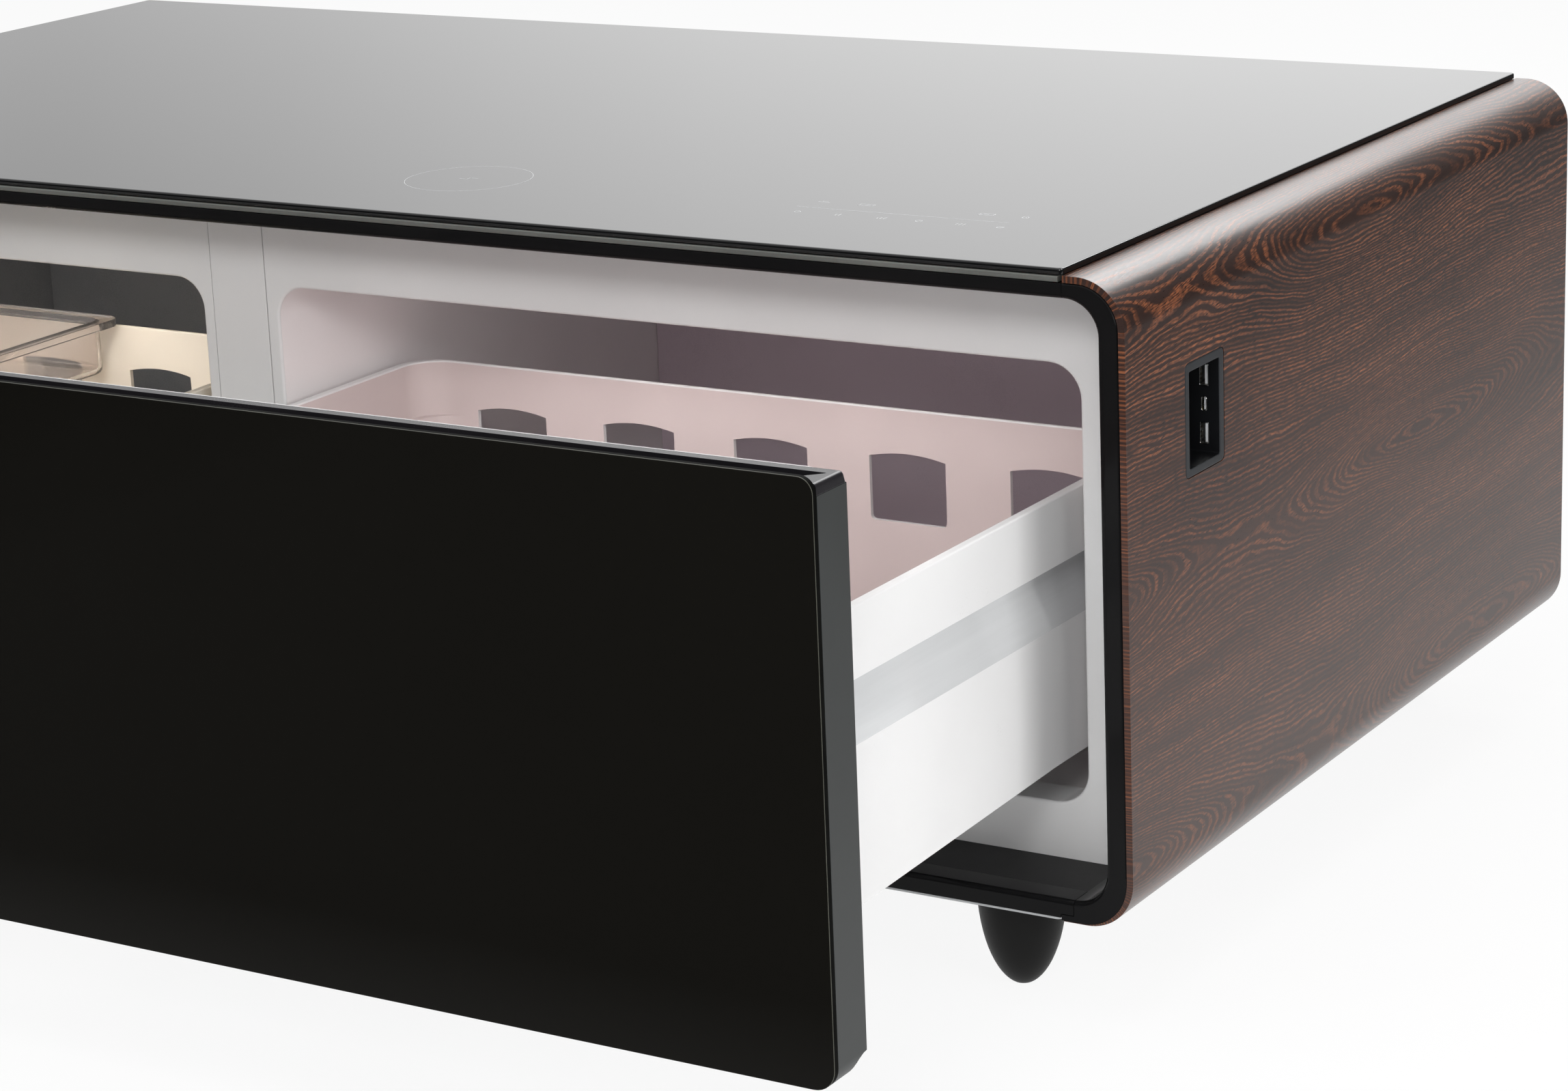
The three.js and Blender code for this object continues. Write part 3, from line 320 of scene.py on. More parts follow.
metal = {"Metallic": 1}
moulded = {"strength": 0.25, "speckle": 0.12}
shell = {"strength": 0.22, "speckle": 0.1}
finishLooks = {
    "pianoBlack": (((0.0035, 0.0035, 0.0038), (0.0062, 0.006, 0.0062)), 6, 900, 0.00001, (0.08, 0.18),
                   shiny(0.1, strength=0.12)),
    "matteBlackTray": (((0.0045, 0.0045, 0.005), (0.008, 0.008, 0.0082)), 14, 1500, 0.00004, (0.34, 0.48),
                       shiny(0.16, strength=0.4)),
    "doorGlass": (((0.0029, 0.0026, 0.0019), (0.004, 0.0036, 0.0027)), 1.6, 40, 0.00001, (0.03, 0.07),
                  shiny(0.17, strength=0.05, speckle=0.1)),
    "topGlass": (((0.004, 0.0042, 0.0046), (0.006, 0.0062, 0.0066)), 2.2, 30, 0.00001, (0.035, 0.075),
                 {"strength": 0.03, "speckle": 0.1, "IOR": 1.5}),
    "groundGlassEdge": (((0.055, 0.056, 0.045), (0.085, 0.086, 0.07)), 30, 1800, 0.00002, (0.3, 0.45),
                        shiny(0.2)),
    "paintedGlassEdge": (((0.003, 0.003, 0.0028), (0.006, 0.006, 0.0055)), 30, 1800, 0.00002, (0.4, 0.55),
                         shiny(0.01)),
    "stripDiffuser": (((0.085, 0.088, 0.082), (0.115, 0.118, 0.11)), 12, 700, 0.00002, (0.3, 0.45),
                      {**shiny(0.3), "Subsurface Weight": 0.1, "Subsurface Scale": 0.002}),
    "whiteFlange": (((0.68, 0.675, 0.675), (0.74, 0.735, 0.735)), 5, 1300, 0.00003, (0.3, 0.42), moulded),
    # The tub insides are the flange's white moulding in painted tones: lighter and pinker on the right
    # (painted light), a darker cream on the left (painted warm shade)
    "rightTubPaintedLight": (((0.85, 0.815, 0.815), (0.9, 0.865, 0.865)), 5, 1300, 0.00003, (0.28, 0.4), moulded),
    "leftTubPaintedWarmShade": (((0.6, 0.56, 0.5), (0.67, 0.63, 0.57)), 5, 1300, 0.00003, (0.28, 0.4), moulded),
    "rightBinShell": (((0.77, 0.765, 0.765), (0.83, 0.825, 0.825)), 5, 1300, 0.00003, (0.26, 0.38), shell),
    # The right bin's inside is its white shell painted darker and pinker: painted shade
    "rightBinShadedInside": (((0.63, 0.545, 0.535), (0.7, 0.61, 0.6)), 5, 1300, 0.00003, (0.26, 0.38), shell),
    "leftBinShell": (((0.75, 0.69, 0.6), (0.81, 0.75, 0.66)), 5, 1300, 0.00003, (0.26, 0.38), shell),
    "channelPearl": (((0.68, 0.69, 0.7), (0.78, 0.79, 0.8)), 3, 240, 0.00002, (0.1, 0.2),
                     {"stretch": (1, 0.03, 1), "Coat Weight": 0.5, "Coat Roughness": 0.06,
                      "Metallic": 0.15}),
    "charcoalFrame": (((0.024, 0.0262, 0.0258), (0.0335, 0.0362, 0.036)), 9, 2200, 0.00005, (0.36, 0.5),
                      {"strength": 0.4}),
    "capBlack": (((0.01, 0.0095, 0.011), (0.018, 0.0165, 0.019)), 9, 1600, 0.00002, (0.18, 0.3),
                 shiny(0.3, strength=0.2)),
    "moduleGrey": (((0.016, 0.0175, 0.02), (0.024, 0.026, 0.0295)), 30, 2600, 0.00004, (0.3, 0.42),
                   shiny(0.35, strength=0.4)),
    "pocketBlack": (((0.0025, 0.0027, 0.0034), (0.005, 0.0053, 0.0064)), 40, 2600, 0.00004, (0.28, 0.42)),
    "socketSteel": (((0.5, 0.5, 0.49), (0.68, 0.68, 0.67)), 200, 4000, 0.00001, (0.16, 0.3), metal),
    "socketTongue": (((0.75, 0.76, 0.78), (0.86, 0.87, 0.89)), 200, 4000, 0.00001, (0.25, 0.35)),
    "goldContact": (((0.75, 0.55, 0.25), (0.85, 0.64, 0.32)), 200, 4000, 0.00001, (0.2, 0.3), metal),
    "footRubber": (((0.0035, 0.0035, 0.0035), (0.0065, 0.0065, 0.0062)), 20, 900, 0.00008, (0.4, 0.58),
                   shiny(0.14, strength=0.4)),
    "gasketRubber": (((0.4, 0.405, 0.41), (0.5, 0.505, 0.51)), 12, 1400, 0.00005, (0.5, 0.65)),
    "zincSteel": (((0.42, 0.43, 0.44), (0.62, 0.63, 0.64)), 40, 320, 0.00002, (0.2, 0.4),
                  {**metal, "stretch": (1, 0.02, 1), "speckle": 0.6}),
    "paintedSteel": (((0.46, 0.47, 0.48), (0.54, 0.55, 0.56)), 6, 1100, 0.00006, (0.38, 0.52),
                     {"strength": 0.4}),
    "darkPanelSteel": (((0.02, 0.021, 0.022), (0.032, 0.033, 0.035)), 8, 1300, 0.00008, (0.42, 0.58),
                       {"strength": 0.5}),
    "darkCover": (((0.36, 0.372, 0.4), (0.43, 0.445, 0.475)), 3, 1500, 0.00003, (0.22, 0.34)),
    # The right rear cover is the tub's white plastic, painted darker and lilac: painted shade
    "lilacShadedCover": (((0.66, 0.56, 0.63), (0.78, 0.67, 0.74)), 2.4, 1500, 0.00003, (0.24, 0.36),
                   {"speckle": 0.1}),
    "rightLamp": (((0.72, 0.72, 0.7), (0.82, 0.82, 0.8)), 20, 500, 0.00005, (0.3, 0.45),
                  {"Emission Color": (1, 0.95, 0.94, 1), "Emission Strength": 8}),
    "leftLamp": (((0.72, 0.72, 0.7), (0.82, 0.82, 0.8)), 20, 500, 0.00005, (0.3, 0.45),
                 {"Emission Color": (1, 0.94, 0.87, 1), "Emission Strength": 19}),
    "foamCream": (((0.62, 0.5, 0.28), (0.78, 0.66, 0.4)), 30, 420, 0.0006, (0.8, 0.95),
                  {"strength": 0.8, "speckle": 0.5}),
    "finAluminium": (((0.6, 0.61, 0.62), (0.78, 0.79, 0.8)), 20, 300, 0.00002, (0.25, 0.42),
                     {**metal, "stretch": (1, 1, 0.03)}),
    "potEnamel": (((0.008, 0.008, 0.0085), (0.018, 0.018, 0.019)), 12, 500, 0.00006, (0.25, 0.42)),
    "coilCopper": (((0.5, 0.22, 0.1), (0.75, 0.38, 0.2)), 60, 900, 0.0001, (0.25, 0.4),
                   {**metal, "speckle": 0.6}),
    "boardGreen": (((0.01, 0.05, 0.025), (0.02, 0.085, 0.04)), 120, 1500, 0.00004, (0.3, 0.5)),
    "paleEnamel": (((0.6, 0.61, 0.62), (0.7, 0.71, 0.72)), 6, 1300, 0.00003, (0.3, 0.42)),
    "inletBlack": (((0.008, 0.008, 0.008), (0.015, 0.015, 0.015)), 50, 2400, 0.00004, (0.3, 0.45)),
    "printGrey": (((0.5, 0.51, 0.52), (0.62, 0.63, 0.64)), 300, 3000, 0.000005, (0.4, 0.55)),
}
finishes = {name: makeFinish(name, *look) for name, look in finishLooks.items()}


# Dark wood vinyl: a flat-sawn figure on the panel's own unrolled map
woodLook = {
    "firstAxis": 0.05, "axisPitch": 0.08, "axisRound": 0.012, "bellWidth": 0.036, "ringPitch": 0.0023,
    "ovalHeight": 0.017, "ovalPitch": 11, "ovalPlace": (0.364, 0.21, -0.53),
    "ground": ((0.014, 0.005, 0.0032), (0.05, 0.0185, 0.011)),
    "streak": ((0.22, 0.06, 0.018), (0.38, 0.122, 0.044)),
}


def makeWood(name, look):
    material, tree, shader = startFinish(name)
    u, v = split(tree, addNode(tree, "UVMap", uv_map="unrolled").outputs["UV"])

    def scaled(source, factor, shift=0.0):
        return calc(tree, "MULTIPLY_ADD", source, factor, shift)

    def add(first, second):
        return calc(tree, "ADD", first, second)

    def times(first, second):
        return calc(tree, "MULTIPLY", first, second)

    def noiseOn(first, second, detail=2.0, roughness=0.5):
        place = addNode(tree, "CombineXYZ", {"X": first, "Y": second}).outputs["Vector"]
        return noise(tree, place, 1, detail, roughness)

    # Distance from the nearest axis of the figure, with a slow drift
    drift = noiseOn(scaled(u, 3.1), scaled(v, 7, 5))
    wandering = add(v, scaled(drift, 0.036, -0.018 - look["firstAxis"]))
    aside = calc(tree, "PINGPONG", wandering, look["axisPitch"])
    squared = times(aside, aside)
    away = calc(tree, "SQRT", scaled(squared, 1, look["axisRound"] ** 2))
    bell = calc(tree, "EXPONENT", scaled(squared, -1 / look["bellWidth"] ** 2))
    placeU, placeV, slant = look["ovalPlace"]
    turn = add(scaled(u, look["ovalPitch"]), scaled(v, slant * look["ovalPitch"]))
    start = -look["ovalPitch"] * (placeU + slant * placeV)
    wave = calc(tree, "COSINE", scaled(turn, 1, start))
    rough = noiseOn(scaled(u, 5.3, 9), scaled(v, 13))
    height = add(scaled(wave, look["ovalHeight"]), scaled(rough, 0.024, -0.012))
    ripple = noiseOn(scaled(u, 34, 3), scaled(v, 95), 3, 0.55)
    band = noiseOn(scaled(u, 1.7), scaled(v, 26, 7), 1)
    small = add(scaled(ripple, 0.0036), scaled(band, 0.012))
    rings = scaled(add(add(away, times(height, bell)), small), 1 / look["ringPitch"])
    line = spread(tree, calc(tree, "PINGPONG", rings, 0.5), 0, 1, 0.2, 0.36)
    # Pores: every line is broken into short slanted ticks of its own
    dashes = noiseOn(add(scaled(u, 230), scaled(rings, 0.9)), scaled(rings, 2.3), 3, 0.6)
    fibre = noiseOn(scaled(u, 120), add(scaled(v, 1500), scaled(u, 210)), 3, 0.6)
    broken = spread(tree, dashes, 0.4, 1, 0.38, 0.55)
    slanted = spread(tree, fibre, 0, 1, 0.4, 0.55)
    ring = noiseOn(scaled(u, 5, 2), scaled(rings, 0.45), 2, 0.6)
    weight = spread(tree, ring, 0.22, 1, 0.34, 0.62)
    pores = times(times(line, broken), slanted)
    # The streaks are calmer near the axes. At the top bend they stay full and the ground is darker: a painted
    # dark reflection of the bend
    calm = times(spread(tree, v, 1, 0.72, 0.08, 0.2), spread(tree, bell, 1, 0.72, 0.2, 1))
    streak = calc(tree, "MULTIPLY", times(pores, weight), calm, clamp=True)
    patch = noiseOn(scaled(u, 4.5, 1), scaled(v, 21), 4, 0.6)
    # The ground's fall at small v is the painted dark reflection at the top bend
    shade = times(add(scaled(patch, 0.6), scaled(fibre, 0.4)), spread(tree, v, 0.8, 1, 0.07, 0.16))
    ground = twoTones(tree, shade, look["ground"], 0.32, 0.68)
    figure = twoTones(tree, patch, look["streak"])
    colour = addNode(tree, "Mix", {"Factor": streak, 6: ground, 7: figure}, data_type="RGBA")
    feed(tree, shader, {
        "Base Color": colour.outputs[2],
        "Roughness": spread(tree, fibre, 0.27, 0.37),
        "Normal": relief(tree, streak, 0.4, 0.0001),
        "Specular IOR Level": 0.4, "Coat Weight": 0.2, "Coat Roughness": 0.22,
    })
    return material


clearLook = {"tones": ((0.93, 0.88, 0.86), (0.98, 0.95, 0.94)), "Transmission Weight": 0.96, "IOR": 1.49}


def makeClear(name, tones, **own):
    material, tree, shader = startFinish(name)
    haze = noise(tree, addNode(tree, "TexCoord").outputs["Object"], 14, 3)
    feed(tree, shader, {
        "Base Color": twoTones(tree, haze, tones),
        "Roughness": spread(tree, haze, 0.02, 0.09),
        "Normal": relief(tree, haze, 0.05, 0.0001),
        **own,
    })
    return material


finishes["woodVinyl"] = makeWood("woodVinyl", woodLook)
finishes["clearAcrylic"] = makeClear("clearAcrylic", **clearLook)
print("finishes made:", len(finishes))


# Black front ring: its sizes, and the thin skirt of each side piece over the wood's lower corner
frontRing = {
    "outerRadius": 0.0257, "innerRadius": 0.021, "sideWidth": 0.0129, "railHeight": 0.009,
    "innerRound": 0.003, "outerRound": 0.0012, "edgeRound": 0.0004, "lipDepth": 0.0185, "trayDrop": 0.0008,
    "skirtDepth": 0.0022, "skirtLow": 0.0038, "skirtRadius": 0.0285, "skirtInner": 0.6035,
    "skirtSpare": 0.0045,
}


def cornerSkirt(side, gap):
    size = frontRing
    low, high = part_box("frame_side_right")
    outer = side * (high.x + gap)
    inner = side * (size["skirtInner"] - gap)
    front = low.y - gap * 10
    bottom = low.z - size["skirtLow"] - gap
    back = low.y + size["skirtDepth"] + gap
    seam = side * (low.x - gap)
    flapEnd = outer - side * (size["skirtRadius"] + tiny)
    flap = addBlock("skirt", (inner, front, bottom), (flapEnd, back, low.z - 0.0003 + gap))
    corner = addBlock("corner", (seam, front, bottom), (outer, back, low.z + size["skirtRadius"]))
    roundEdges(corner, where("y", under={"z": bottom + tiny}, x=outer), size["skirtRadius"], 12)
    return unite(flap, corner)


# Wood side panels: one sheet bent round the top and bottom corners
woodPanel = {
    "thickness": 0.004, "cornerRadius": 0.03, "cornerSegments": 16, "topArm": 0.038, "edgeRound": 0.0014,
    "holeLength": 0.0516, "holeGap": 0.0003, "holeRadius": 0.0045, "skirtGap": 0.00015,
}


def unrollPanel(panel, low, high, shift):
    radius = woodPanel["cornerRadius"]
    reach = max(abs(low.x), abs(high.x))
    flatEnd = reach - radius
    topFlat = flatEnd - (reach - woodPanel["topArm"])
    bend = radius * math.pi / 2
    side = high.z - low.z - 2 * radius
    layer = panel.data.uv_layers.get("unrolled") or panel.data.uv_layers.new(name="unrolled")
    for loop in panel.data.loops:
        point = panel.data.vertices[loop.vertex_index].co
        across = abs(point.x) - flatEnd
        above = point.z - (high.z - radius)
        below = (low.z + radius) - point.z
        if above > 0:
            run = topFlat + min(across, 0) + radius * math.atan2(max(across, 0), above)
        elif below > 0:
            run = topFlat + bend + side + radius * math.atan2(below, max(across, 0.00001)) - min(across, 0)
        else:
            run = topFlat + bend - above
        layer.data[loop.index].uv = (point.y + shift[0], run + shift[1])


def makeWoodPanel(node, name, side, holeNode, shift):
    size = woodPanel
    low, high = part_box(node)
    outer = high.x if side > 0 else low.x
    inner = low.x if side > 0 else high.x
    panel = addBlock(name, low, high)
    openEdit(panel, "FACE", lambda centre, normal: abs(normal.y) > 0.9 or normal.x * side < -0.9)
    bpy.ops.mesh.delete(type="FACE")
    bpy.ops.mesh.select_mode(type="VERT")
    pick(panel, "VERT", lambda point: abs(point.x - inner) < tiny and point.z > high.z - tiny)
    movePoints(outer - side * size["topArm"] - inner, 0, 0)
    closeEdit()
    roundEdges(panel, where("y", x=outer), size["cornerRadius"], size["cornerSegments"])
    activate(panel)
    wall = panel.modifiers.new("wall", "SOLIDIFY")
    wall.thickness = size["thickness"]
    wall.offset = -1
    wall.use_even_offset = True
    bpy.ops.object.modifier_apply(modifier=wall.name)
    if holeNode:
        holeLow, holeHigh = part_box(holeNode)
        gap = size["holeGap"]
        first = (outer - past, holeLow.y - gap, holeLow.z - gap)
        second = (outer + past, holeLow.y + size["holeLength"] + gap, holeHigh.z + gap)
        cutAway(panel, addRounded("hole", first, second, "x", size["holeRadius"]))
    cutAway(panel, cornerSkirt(side, size["skirtGap"]))
    softenEdges(panel, size["edgeRound"], 3)
    smoothFaces(panel)
    unrollPanel(panel, low, high, shift)
    seatPiece(panel, "cabinet", "dark_wood", "woodVinyl", node, smooth=None)


makeWoodPanel("side_panel_right", "wood_panel_right", 1, "charging_module", (0.4, 0))
makeWoodPanel("side_panel_left", "wood_panel_left", -1, None, (2.1, 1.3))
print("wood panels bent")


# The ring has two side pieces with rounded inner corners, a top rail and a bottom rail
def makeRingSide(node, name, side):
    size = frontRing
    low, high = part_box(node)
    outer = high.x if side > 0 else low.x
    seam = low.x if side > 0 else high.x
    innerX = outer - side * size["sideWidth"]
    innerLow = low.z + size["railHeight"]
    innerHigh = high.z - size["railHeight"]
    farX = seam - side * 0.05
    piece = addBlock(name, low, high)
    roundEdges(piece, where("y", x=outer), size["outerRadius"], 12)

    def opening(spare, front, back):
        first = (innerX + side * spare, front, innerLow - spare)
        second = (farX, back, innerHigh + spare)
        return addRounded("opening", first, second, "y", size["innerRadius"] + spare, 12)

    def onFront(centre, direction):
        onSeam = abs(centre.x - seam) < tiny and abs(direction.z) > 0.9
        return abs(centre.y - low.y) < tiny and not onSeam

    def onInner(centre, direction):
        inside = (centre.x - innerX) * side < tiny and innerLow - tiny < centre.z < innerHigh + tiny
        return inside and onFront(centre, direction)

    def onOuter(centre, direction):
        beyond = max((centre.x - innerX) * side, innerLow - centre.z, centre.z - innerHigh)
        return beyond > 0.002 and onFront(centre, direction)

    cutAway(piece, opening(0, low.y - past, high.y + past))
    roundEdges(piece, onInner, size["innerRound"], 5)
    roundEdges(piece, onOuter, size["outerRound"], 3)
    skirt = cornerSkirt(side, 0)
    # The skirt stays clear of the opening and of its rounded edge
    cutAway(skirt, opening(size["skirtSpare"], low.y - 2 * past, high.y))
    unite(piece, skirt)
    softenEdges(piece, size["edgeRound"])
    seatPiece(piece, "cabinet", "black_gloss", "pianoBlack", node)


def makeTopRail():
    low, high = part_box("frame_top_rail")
    stripLow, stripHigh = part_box("light_strip")
    gap = 0.0003
    rail = addBlock("ring_top_rail", low, high)
    first = (low.x - past, low.y - past, stripLow.z - gap)
    cutAway(rail, addBlock("step", first, (high.x + past, stripHigh.y + gap, high.z + past)))
    roundEdges(rail, where(y=low.y, z=low.z), frontRing["innerRound"], 5)
    softenEdges(rail, frontRing["edgeRound"])
    seatPiece(rail, "cabinet", "black_gloss", "pianoBlack", "frame_top_rail")


def makeBottomRail():
    low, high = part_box("frame_bottom_rail")
    plateLow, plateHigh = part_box("base_plate")
    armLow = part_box("frame_side_right")[0].z
    rail = addBlock("ring_bottom_rail", (low.x, low.y, armLow), high)
    openEdit(rail, "FACE")
    for edge in (plateLow.x, plateHigh.x):
        splitAt((edge, 0, 0), (1, 0, 0))
    selectMesh("DESELECT")
    pick(rail, "FACE", lambda centre, normal: normal.z < -0.9 and plateLow.x < centre.x < plateHigh.x)
    extrude(0, 0, low.z - armLow)
    closeEdit()
    roundEdges(rail, where(y=low.y, z=high.z), frontRing["innerRound"], 5)
    floorZ = high.z - frontRing["trayDrop"]
    first = (low.x - past, low.y + frontRing["lipDepth"], floorZ)
    cutAway(rail, addBlock("recess", first, (high.x + past, high.y + past, high.z + past)))
    softenEdges(rail, frontRing["edgeRound"])
    seatPiece(rail, "cabinet", "black_gloss", "pianoBlack", "frame_bottom_rail")
    behindLip = low.y + frontRing["lipDepth"] + 0.0005

    def onFloor(centre, normal):
        return abs(centre.z - floorZ) < 0.0003 and normal.z > 0.5 and centre.y > behindLip

    paint(rail, ["matteBlackTray"], onFloor)


makeRingSide("frame_side_right", "ring_side_right", 1)
makeRingSide("frame_side_left", "ring_side_left", -1)
makeTopRail()
makeBottomRail()
print("front ring cut and rounded")


# Light strip under the glass edge
lightBar = {"topGap": 0.0003, "frontRound": 0.0008, "edgeRound": 0.0002}


def makeLightStrip():
    low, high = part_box("light_strip")
    strip = addBlock("light_bar", low, (high.x, high.y, high.z - lightBar["topGap"]))
    roundEdges(strip, where("x", under={"y": low.y + tiny}), lightBar["frontRound"], 3)
    softenEdges(strip, lightBar["edgeRound"])
    seatPiece(strip, "cabinet", "diffuser", "stripDiffuser", "light_strip")


makeLightStrip()


# Glass top with ground edges
topGlass = {
    "cornerRadius": 0.003, "edgeBevel": 0.0011, "lowBevel": 0.0005, "topDrop": 0.00003,
    "printHeight": 0.00002,
}


def makeGlassTop():
    low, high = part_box("glass_top")
    topZ = high.z - topGlass["topDrop"]
    glass = addRounded("top_glass", low, (high.x, high.y, topZ), "z", topGlass["cornerRadius"], 6)
    roundEdges(glass, where(across="z", z=topZ), topGlass["edgeBevel"], 2)
    softenEdges(glass, topGlass["lowBevel"], 2, 60)
    seatPiece(glass, "cabinet", "black_glass", "topGlass", "glass_top", smooth=30)


# Faint marks printed on the glass. Each is a bar along X, a post along Y or a ring, with its place and reach
printed = {
    "lineWidth": 0.00045, "chargeRadius": 0.0409, "chargeWidth": 0.0003, "charge": (0.134, -0.0845),
    "backRow": -0.0745, "frontRow": -0.1055, "sliderRow": -0.09,
}
chargeMarks = [
    ("bar", -0.006, -0.0022, 0.005), ("bar", 0.001, 0.0016, 0.005), ("post", -0.0004, -0.0022, 0.0042),
]
frameMarks = [
    ("bar", -0.005, 0, 0.01), ("bar", -0.005, 0.0042, 0.01), ("post", -0.005, 0, 0.0042),
    ("post", 0.0046, 0, 0.0042), ("bar", -0.0016, 0.0018, 0.0032),
]
backMarks = [
    ("bar", 0.3856, 0.001, 0.008), ("bar", 0.3876, 0.003, 0.004), ("ring", 0.5268, 0.002, 0.0021),
    ("post", 0.5266, 0.002, 0.0036),
]
frontMarks = [
    ("ring", 0.389, 0.002, 0.0018), ("thick", 0.4158, 0, 0.003), ("thick", 0.418, 0, 0.0044),
    ("thick", 0.4442, 0, 0.0026), ("thick", 0.4464, 0, 0.0038), ("thick", 0.4486, 0, 0.005),
    ("ring", 0.4719, 0.0026, 0.002), ("bar", 0.471, -0.0004, 0.0018), ("post", 0.4972, 0, 0.0048),
    ("post", 0.4997, 0, 0.0048), ("post", 0.5022, 0, 0.0048), ("ring", 0.5263, 0.0022, 0.0021),
    ("bar", 0.5243, 0.002, 0.004),
]


def printMarks():
    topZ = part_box("glass_top")[1].z
    low = topZ - topGlass["topDrop"] - topGlass["printHeight"]
    line = printed["lineWidth"]

    def flatRing(x, y, radius, width, sides):
        ring = addDisc("ring", (x, y, low), radius + width / 2, sides)
        openEdit(ring, "FACE")
        selectMesh()
        bpy.ops.mesh.inset(thickness=width)
        bpy.ops.mesh.delete(type="FACE")
        selectMesh()
        extrude(0, 0, topZ - low)
        closeEdit(turnOut=True)
        return ring

    def layMarks(marks, x, y):
        laid = []
        for kind, right, up, reach in marks:
            left = x + right
            front = y + up
            shapes = {
                "bar": (reach, line), "thin": (reach, line * 0.8),
                "post": (line, reach), "thick": (line * 1.4, reach),
            }
            if kind == "ring":
                laid.append(flatRing(left, front, reach, line, 24))
            else:
                width, depth = shapes[kind]
                laid.append(addBlock("stroke", (left, front, low), (left + width, front + depth, topZ)))
        return laid

    x, y = printed["charge"]
    ring = flatRing(x, y, printed["chargeRadius"], printed["chargeWidth"], 96)
    mark = joinPieces("charge_mark", [ring] + layMarks(chargeMarks, x, y))
    seatPiece(mark, "cabinet", "diffuser", "printGrey", smooth=None)
    strokes = layMarks([("thin", 0.3802, 0, 0.145)], 0, printed["sliderRow"])
    for spot in (0.4189, 0.5009):
        strokes += layMarks(frameMarks, spot, printed["backRow"])
    strokes += layMarks(backMarks, 0, printed["backRow"]) + layMarks(frontMarks, 0, printed["frontRow"])
    touch = joinPieces("touch_marks", strokes)
    seatPiece(touch, "cabinet", "diffuser", "printGrey", smooth=None)


makeGlassTop()
printMarks()
print("glass top and printed marks placed")


# Cold compartments: flange and tub in one moulded piece, with a rounded mouth
tub = {
    "wall": 0.0025, "mouthLow": 0.109, "mouthHigh": 0.3776, "mouthRadius": 0.021, "mouthRound": 0.0018,
    "lipDepth": 0.027, "lipShown": 0.016, "floorRadius": 0.005, "floorDrop": 0.006,
}
# The right room's cover tone is painted shade on white plastic
rooms = {
    "right": {"low": 0.0063, "high": 0.5889, "finish": "rightTubPaintedLight", "cover": "lilacShadedCover"},
    "left": {"low": -0.5889, "high": -0.0563, "finish": "leftTubPaintedWarmShade", "cover": "darkCover"},
}


def makeLiner(side):
    size = tub
    left = rooms[side]["low"]
    right = rooms[side]["high"]
    low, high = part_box("liner_" + side)
    wall = size["wall"]
    mouthLow = size["mouthLow"]
    mouthHigh = size["mouthHigh"]
    floorLow = mouthLow - size["floorDrop"]
    flange = addBlock("cold_tub_" + side, low, (high.x, low.y + wall, high.z))
    first = (left - wall, low.y + 0.001, floorLow - wall)
    casing = addBlock("casing", first, (right + wall, high.y, mouthHigh + wall))
    roundEdges(casing, where("y", over={"z": mouthHigh}), size["mouthRadius"] + wall, 10)
    roundEdges(casing, where("y", under={"z": mouthLow}), size["floorRadius"] + wall, 4)
    unite(flange, casing)
    back = high.y - wall
    mouthFirst = (left, low.y - past, mouthLow)
    mouth = addRounded("mouth", mouthFirst, (right, back, mouthHigh), "y", size["mouthRadius"], 10)
    floorFirst = (left, low.y + size["lipDepth"] + 0.0003, floorLow)
    floorTop = mouthHigh - size["mouthRadius"]
    floor = addRounded("floor", floorFirst, (right, back, floorTop), "y", size["floorRadius"], 4)
    cutAway(flange, mouth, floor)

    def onMouth(centre, direction):
        across = left - tiny < centre.x < right + tiny
        return abs(centre.y - low.y) < tiny and across and mouthLow - tiny < centre.z < mouthHigh + tiny

    # Past the lip the inside of the one moulding takes its room's tone: painted light in the right tub,
    # painted warm shade in the left
    def tubKind(centre, normal):
        darkWall = side == "left" and normal.x > 0.7 and centre.x < left + 0.01
        return (2 if darkWall else 1) if centre.y > low.y + size["lipShown"] else 0

    roundEdges(flange, onMouth, size["mouthRound"], 6)
    seatPiece(flange, "cabinet", "white_plastic", "whiteFlange", "liner_" + side, smooth=32)
    paint(flange, [rooms[side]["finish"], "darkCover"], tubKind)


for sideName in rooms:
    makeLiner(sideName)

coverStrip = {"edgeRound": 0.0003, "rightGap": 0.0006}


def makeMullion():
    low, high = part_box("mullion_cover")
    strip = addBlock("middle_cover", low, (high.x - coverStrip["rightGap"], high.y, high.z))
    roundEdges(strip, where(under={"y": low.y + tiny}), coverStrip["edgeRound"], 3)
    seatPiece(strip, "cabinet", "white_plastic", "whiteFlange", "mullion_cover")


makeMullion()
print("cold compartments moulded")


# Rounded air slot through a sheet that stands across Y
def cutSlot(sheet, low, high, x, z, length, height):
    first = (x - length / 2, low.y - past, z)
    second = (x + length / 2, high.y + past, z + height)
    cutAway(sheet, addRounded("slot", first, second, "y", height / 2 - 0.00005, 4))


# Rear covers with air slots and screws, and the lamps
rearCover = {
    "cornerRadius": 0.021, "slotLength": 0.04, "slotHeight": 0.006, "slotPitch": 0.062, "slotDrop": 0.04,
    "screwRadius": 0.0042, "screwInset": 0.03, "screwHead": 0.0012,
}


